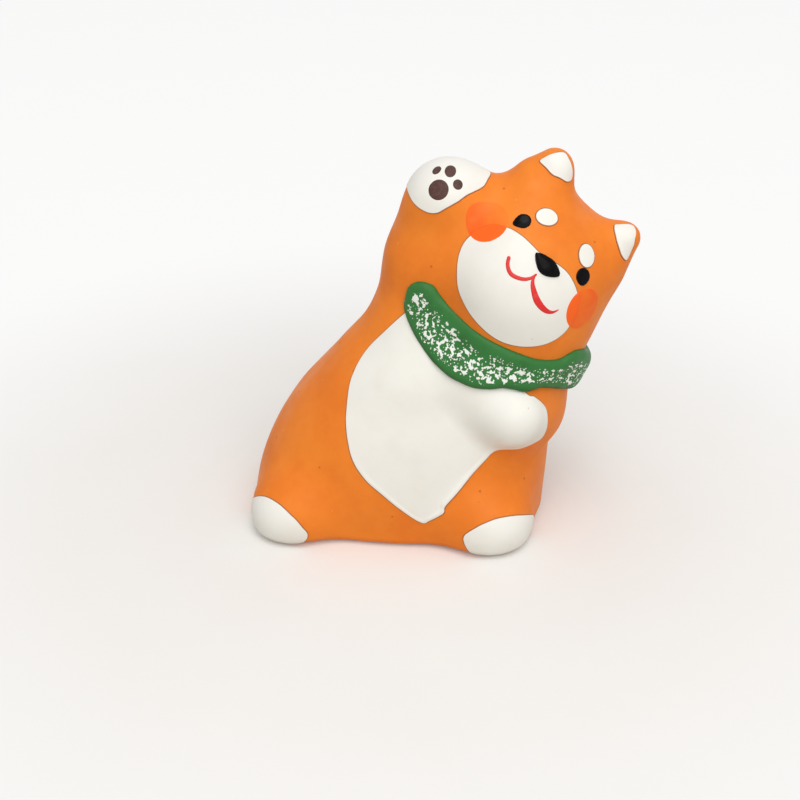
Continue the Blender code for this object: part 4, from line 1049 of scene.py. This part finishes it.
class Tail(bpy.types.Operator):
    """The tail: a rounded ridge along a curl on the back, flared into the skin at both sides."""

    bl_idname = "dog.tail"
    bl_label = "Tail"

    rows, columns, under = 150, 40, 12
    flare = 1.25
    skirt_height = 0.16
    narrowest = 0.02
    settling = 0.04
    sink = 0.8

    def execute(self, context):
        share = np.linspace(0, 1, self.rows)
        angle = np.radians(-90 + TAIL_TURN * share)
        curl = TAIL_CURL[0] + (TAIL_CURL[1] - TAIL_CURL[0]) * share
        radius = TAIL_RADII[0] + (TAIL_RADII[1] - TAIL_RADII[0]) * share
        out = np.stack([np.cos(angle), np.sin(angle)], -1)
        steps = np.linalg.norm(np.diff(curl[:, None] * out, axis=0), axis=-1)
        run = np.concatenate([[0], np.cumsum(steps)])
        narrow = rounded(np.minimum(run, run[-1] - run) / radius) * radius
        across, top = over_and_under(np.linspace(-1, 1, self.columns), self.under)
        skirt = np.clip((1 - np.abs(across)) / (1 - 1 / self.flare), 0, 1) ** 2
        rise = np.maximum(arched(self.flare * across), self.skirt_height * skirt)
        offset = (narrow[:, None] + self.narrowest) * self.flare * across
        x, z = (TAIL_CENTRE[axis] + out[:, axis, None] * (curl[:, None] + offset) for axis in (0, 1))
        from_behind = np.diag([-1.0, -1.0, 1.0])
        points = facing(np.stack([-x, z], -1), np.zeros(3), from_behind, TAIL_FRONT)
        full = (2 - TAIL_SUNK / TAIL_RADII[0]) * narrow
        height = np.where(top, rise * full[:, None] - self.settling, -self.sink)
        rings = points + normals(points) * height[..., None]
        tail = closed_grid("tail_curl", rings, {"clay": np.zeros(rings.shape[:2])})
        settle(tail, orange_paint_finish, "orange_paint", "tail")
        return {"FINISHED"}


class Scarf(bpy.types.Operator):
    """The scarf: a pillow-shaped band between two edges round the neck, closed underneath.

    Its rows crowd towards the ends and its columns towards the edges.  It is thickest on the right, in a
    bell curve round the neck, and two slow waves make it lumpy.
    """

    bl_idname = "dog.scarf"
    bl_label = "Scarf"

    rows, columns, under = 460, 64, 14
    end_crowding, edge_crowding = 0.38, 0.65
    pillow_power = 3.4
    end_degrees = 9.0
    swell, swell_place, swell_width = 0.5, -14.0, 24.0
    sink = 0.5

    def execute(self, context):
        even = np.linspace(-1, 1, self.rows)
        crowd = self.end_crowding
        angle = SCARF_END * ((1 - crowd) * even + crowd * np.sin(even * math.pi / 2))
        low, high = monotone(SCARF_LOW, angle), monotone(SCARF_HIGH, angle)
        crowd = self.edge_crowding
        roll = 0.5 - 0.5 * np.cos(np.linspace(0, math.pi, self.columns))
        over = (1 - crowd) * np.linspace(0, 1, self.columns) + crowd * roll
        across, top = over_and_under(over, self.under)
        turn = np.radians(angle)[:, None]
        points = skin(low[:, None] + (high - low)[:, None] * across, turn, draped_form)
        pillow = np.sqrt(1 - np.abs(2 * across - 1) ** self.pillow_power)
        ends = rounded((SCARF_END - np.abs(angle)) / self.end_degrees)
        lumps = 1 + 0.07 * np.sin(5.2 * turn + 3 * across) + 0.05 * np.sin(11 * turn - 5 * across + 1.0)
        bell = np.exp(-((angle - self.swell_place) / self.swell_width) ** 2)
        thick = size("scarf") * (1 + self.swell * bell)
        height = np.where(top, (thick * ends)[:, None] * pillow * lumps, -self.sink)
        rings = points + normals(points, draped_form) * height[..., None]
        values = {
            "across": np.broadcast_to(across, height.shape),
            "inset": np.broadcast_to(ends[:, None], height.shape),
        }
        settle(closed_grid("scarf_band", rings, values), scarf_finish, "green_paint", "scarf")
        return {"FINISHED"}


def skin_spots(outline, middle):
    """A function from shares of the spokes to points: the spokes are straight in the skin's parameters."""
    def spots(share):
        way = middle + (outline - middle) * share[..., None]
        return skin(way[..., 0], way[..., 1])
    return spots


def frame_spots(outline, middle, origin, axes, front=HEAD_FRONT):
    """A function from shares of the spokes to points: the spokes are straight across a frame on the clay."""
    middle = np.asarray(middle, float)

    def spots(share):
        return facing(middle + (outline - middle) * share[..., None], origin, axes, front)
    return spots


def face_spots(outline, place):
    """Spots of a dab on the face: across the frame that lies on the clay at a place of the head's front."""
    point = facing(np.asarray(place, float), HEAD_CENTRE, HEAD_AXES)
    return frame_spots(outline, (0, 0), *tangent_frame(point, HEAD_AXES[:, 0]), DAB_FRONT)


def on_body(points, count, amount, seed):
    """A hand-drawn closed outline in the skin's parameters, through points near the skin."""
    return hand_drawn(places(closed_curve(points, count)), amount, seed)


class WhiteBelly(bpy.types.Operator):
    """White of the belly and the folded paw, one coat, with a bead of paint along its lower edge.

    The bead is a bell curve of the distance from the edge.
    """

    bl_idname = "dog.white_belly"
    bl_label = "White belly"

    def execute(self, context):
        at, degrees = BELLY_UNDER_SCARF.T
        hidden = np.column_stack([skin(at, np.radians(degrees)), np.zeros(len(at))])
        curve = closed_curve(np.concatenate([BELLY_FRONT, hidden]), BELLY_GRID[0])
        outline = hand_drawn(places(curve[:, :3]), *BELLY_BRUSH)
        bead = np.clip(curve[:, 3], 0, 1) * size("bead")

        def relief(away):
            return bead * np.exp(-((away - BEAD_INSET) / BEAD_WIDTH) ** 2)

        spots = skin_spots(outline, places(BELLY_MIDDLE))
        paint("belly_paint", white_paint_finish, "white_paint", ["belly_coat", "folded_paw"],
              spots, BELLY_GRID, size("paint"), size("lip"), relief=relief)
        return {"FINISHED"}


class WhitePaws(bpy.types.Operator):
    """White of the raised paw, front and back, and of both feet."""

    bl_idname = "dog.white_paws"
    bl_label = "White paws"

    def execute(self, context):
        back = MITTEN_FRONT[::-1] * (1, -1, 1) + (0, 2 * PAW_CENTRE[1], 0)
        paws = (
            ("mitten_paint", np.concatenate([MITTEN_FRONT, back]), MITTEN_MIDDLE, "raised_paw"),
            ("left_foot_paint", LEFT_FOOT_LINE, LEFT_FOOT_MIDDLE, "left_foot"),
            ("right_foot_paint", RIGHT_FOOT_LINE, RIGHT_FOOT_MIDDLE, "right_foot"),
        )
        for (name, line, middle, node), brush in zip(paws, PAW_BRUSHES):
            spots = skin_spots(on_body(line, PAW_GRID[0], *brush), places(middle))
            paint(name, white_paint_finish, "white_paint", [node],
                  spots, PAW_GRID, size("paint"), size("lip"))
        return {"FINISHED"}


def muzzle_outline(count):
    """The muzzle's outline in the skin's parameters."""
    return on_body(facing(np.array(MUZZLE_LINE), HEAD_CENTRE, HEAD_AXES), count, *MUZZLE_BRUSH)


def muzzle_middle():
    """The middle of the muzzle in the skin's parameters."""
    return places(facing(np.array(MUZZLE_MIDDLE), HEAD_CENTRE, HEAD_AXES))


def muzzle_share(points):
    """How far out on the muzzle's white points lie: below one inside it.

    It is their distance from its middle over the outline's distance at the same angle, both in the skin's
    parameters scaled to about millimetres.
    """
    outline = (muzzle_outline(360) - muzzle_middle()) * MUZZLE_SCALE
    turn = np.arctan2(outline[:, 1], outline[:, 0])
    order = np.argsort(turn)
    reach = np.hypot(outline[:, 0], outline[:, 1])
    here = (places(points) - muzzle_middle()) * MUZZLE_SCALE
    limit = np.interp(np.arctan2(here[..., 1], here[..., 0]), turn[order], reach[order], period=2 * math.pi)
    return np.hypot(here[..., 0], here[..., 1]) / limit


def on_white(points):
    """One over the muzzle's white and zero beside it, with a soft step at its lip."""
    share = np.clip((1 + MUZZLE_STEP - muzzle_share(points)) / (2 * MUZZLE_STEP), 0, 1)
    return share * share * (3 - 2 * share)


class WhiteFace(bpy.types.Operator):
    """White of the muzzle, the ear linings and the spots above the eyes."""

    bl_idname = "dog.white_face"
    bl_label = "White face"

    def execute(self, context):
        coat = (size("paint"), size("lip"))
        spots = skin_spots(muzzle_outline(MUZZLE_GRID[0]), muzzle_middle())
        paint("muzzle_paint", white_paint_finish, "white_paint", ["muzzle_coat"], spots, MUZZLE_GRID, *coat)
        for side, middle, line in EAR_LININGS:
            spots = skin_spots(on_body(line, EAR_GRID[0], *EAR_BRUSH), places(middle))
            paint(side + "_ear_paint", white_paint_finish, "white_paint", [side + "_ear_lining"],
                  spots, EAR_GRID, *coat)
        for side, place, radii, turn in BROWS:
            spots = face_spots(hand_drawn(oval(radii, turn, BROW_GRID[0]), *BROW_BRUSH), place)
            paint(side + "_brow_paint", white_paint_finish, "white_paint", [side + "_brow"],
                  spots, BROW_GRID, *coat, dome=0.3)
        return {"FINISHED"}


class EyesAndNose(bpy.types.Operator):
    """The eyes and the nose, domes of glossy black."""

    bl_idname = "dog.eyes_and_nose"
    bl_label = "Eyes and nose"

    def execute(self, context):
        for side, place, radii, turn, point in EYES:
            spots = face_spots(hand_drawn(oval(radii, turn, EYE_GRID[0], point), *EYE_BRUSH), place)
            paint(side + "_eye_paint", gloss_black_finish, "black_gloss", [side + "_eye"],
                  spots, EYE_GRID, size("eye"), EYE_LIP, dome=0.6)
        outline = hand_drawn(closed_curve(NOSE_LINE, NOSE_GRID[0]), *NOSE_BRUSH)
        spots = frame_spots(outline, NOSE_MIDDLE, HEAD_CENTRE, HEAD_AXES)
        paint("nose_paint", gloss_black_finish, "black_gloss", ["nose"],
              spots, NOSE_GRID, size("nose"), NOSE_LIP, dome=0.75)
        return {"FINISHED"}


class Cheeks(bpy.types.Operator):
    """The cheeks: thin round washes that lie over the orange and over the edge of the muzzle's white.

    The left one fades towards the crown and the right one outwards.
    """

    bl_idname = "dog.cheeks"
    bl_label = "Cheeks"

    def execute(self, context):
        wash = size("thin") * CHEEK_WASH

        def ground(points):
            return size("paint") * on_white(points)

        for side, place, radii, way, start in CHEEKS:
            spots = face_spots(hand_drawn(oval(radii, 0, CHEEK_GRID[0]), *CHEEK_BRUSH), place)
            rings, values = coat_rings(spots, CHEEK_GRID, wash, CHEEK_LIP, ground=ground)
            local = ((rings - HEAD_CENTRE) @ HEAD_AXES)[..., [0, 2]]
            values["over_white"] = on_white(rings)
            values["fade"] = np.clip(start + ((local - place) * way).sum(-1) / radii[1], 0, 1)
            cheek = closed_grid(side + "_cheek_paint", rings, values)
            settle(cheek, blush_paint_finish, "blush_paint", side + "_cheek")
        return {"FINISHED"}


class Mouth(bpy.types.Operator):
    """The mouth: two brush strokes on the muzzle's white, each a low ridge of changing width on a curve."""

    bl_idname = "dog.mouth"
    bl_label = "Mouth"

    rows, columns, under = 90, 13, 7
    end_rows = 4.0
    underside = 0.03

    def execute(self, context):
        from_end = np.minimum(np.arange(self.rows), np.arange(self.rows)[::-1])
        ends = np.sqrt(np.clip(from_end / self.end_rows, 0.02, 1))
        across, top = over_and_under(np.linspace(-1, 1, self.columns), self.under)
        ridge = size("paint") + size("thin") * arched(across)
        for side, line, widths in MOUTHS:
            curve = open_curve(np.column_stack([line, widths]), self.rows)
            path, width = curve[:, :2], curve[:, 2]
            way = unit(np.gradient(path, axis=0))
            aside = np.stack([-way[:, 1], way[:, 0]], -1)
            wide = (width * ends / 2)[:, None] * across
            points = facing(path[:, None] + aside[:, None] * wide[..., None], HEAD_CENTRE, HEAD_AXES)
            height = np.where(top, ridge, self.underside)
            rings = points + normals(points) * height[..., None]
            stroke = closed_grid(side + "_mouth_paint", rings, {})
            settle(stroke, red_paint_finish, "red_paint", "mouth_" + side)
        return {"FINISHED"}


class Pads(bpy.types.Operator):
    """The palm pad and the toe pads of the raised paw, dabs on its white."""

    bl_idname = "dog.pads"
    bl_label = "Pads"

    def execute(self, context):
        for name, node, place, radii, turn in PADS:
            outline = hand_drawn(oval(radii, turn, PAD_GRID[0]), *PAD_BRUSH)
            laid = tangent_frame(skin(*places(place)), WORLD_AXES[0])
            spots = frame_spots(outline, (0, 0), *laid, DAB_FRONT)
            paint(name + "_paint", brown_paint_finish, "brown_paint", [node],
                  spots, PAD_GRID, size("paint") + size("thin"), PAD_LIP, dome=0.2)
        return {"FINISHED"}


class Stage(bpy.types.Operator):
    """The pale floor, the soft lights, the world and the camera."""

    bl_idname = "dog.stage"
    bl_label = "Stage"

    def execute(self, context):
        scene = context.scene
        scene.view_settings.view_transform = "Standard"
        self.floor(scene)
        for light in LIGHTS:
            self.light(scene, *light)
        self.world(scene)
        camera = bpy.data.objects.new("camera", bpy.data.cameras.new("camera"))
        camera.data.lens = CAMERA_LENS
        camera.data.sensor_width = CAMERA_SENSOR
        camera.data.clip_start = 0.01
        camera.location = [value * METRES for value in CAMERA_PLACE]
        camera.rotation_euler = (math.radians(90 - CAMERA_PITCH), 0, math.radians(CAMERA_YAW))
        scene.collection.objects.link(camera)
        scene.camera = camera
        return {"FINISHED"}

    def floor(self, scene):
        """A wide flat square just under the figure."""
        mesh = bpy.data.meshes.new("floor")
        corners = [(x * FLOOR_HALF, y * FLOOR_HALF, 0) for x, y in ((-1, -1), (1, -1), (1, 1), (-1, 1))]
        mesh.from_pydata(corners, [], [(0, 1, 2, 3)])
        mesh.materials.append(floor_finish())
        floor = bpy.data.objects.new("floor", mesh)
        floor.location = (0, 0, -FLOOR_DROP)
        scene.collection.objects.link(floor)

    def light(self, scene, name, place, width, power):
        """A round soft light that faces the figure."""
        lamp = bpy.data.lights.new(name, "AREA")
        lamp.shape = "DISK"
        lamp.size = width
        lamp.energy = power
        made = bpy.data.objects.new(name, lamp)
        made.location = place
        aim = FIGURE_MIDDLE - np.array(place)
        pitch = math.atan2(math.hypot(aim[0], aim[1]), -aim[2])
        made.rotation_euler = (pitch, 0, math.atan2(aim[1], aim[0]) - math.pi / 2)
        scene.collection.objects.link(made)

    def world(self, scene):
        """A white world: dim as a light, near white where it is seen."""
        world = bpy.data.worlds.new("studio")
        world.use_nodes = True
        tree = world.node_tree
        backdrop = tree.nodes["Background"]
        backdrop.inputs["Color"].default_value = (1.0, 1.0, 1.0, 1.0)
        strength = band(tree, seen_directly(tree), 0.0, 1.0, WORLD_LIGHT, WORLD_SEEN)
        feed(tree, backdrop.inputs["Strength"], strength)
        scene.world = world


PIECES = (ClayBody, Tail, Scarf, WhiteBelly, WhitePaws, WhiteFace, EyesAndNose, Cheeks, Mouth, Pads, Stage)


class DogPanel(bpy.types.Panel):
    """The pieces of the dog, with its sizes and colours."""

    bl_idname = "VIEW3D_PT_dog"
    bl_label = "Pottery Dog"
    bl_space_type = "VIEW_3D"
    bl_region_type = "UI"
    bl_category = "Dog"

    def draw(self, context):
        for piece in PIECES:
            self.layout.operator(piece.bl_idname)
        for group in (context.scene.dog_sizes, context.scene.dog_colours):
            for name in group.__annotations__:
                self.layout.prop(group, name)


CLASSES = (DogSizes, DogColours, *PIECES, DogPanel)


def register():
    """Registers the classes and hangs the sizes and colours on the scene."""
    for item in CLASSES:
        bpy.utils.register_class(item)
    bpy.types.Scene.dog_sizes = PointerProperty(type=DogSizes)
    bpy.types.Scene.dog_colours = PointerProperty(type=DogColours)


def unregister():
    """Takes the sizes, colours and classes away again."""
    del bpy.types.Scene.dog_colours
    del bpy.types.Scene.dog_sizes
    for item in reversed(CLASSES):
        bpy.utils.unregister_class(item)


def main():
    """Builds every piece."""
    register()
    for piece in PIECES:
        group, name = piece.bl_idname.split(".")
        getattr(getattr(bpy.ops, group), name)()


if __name__ == "__main__":
    main()
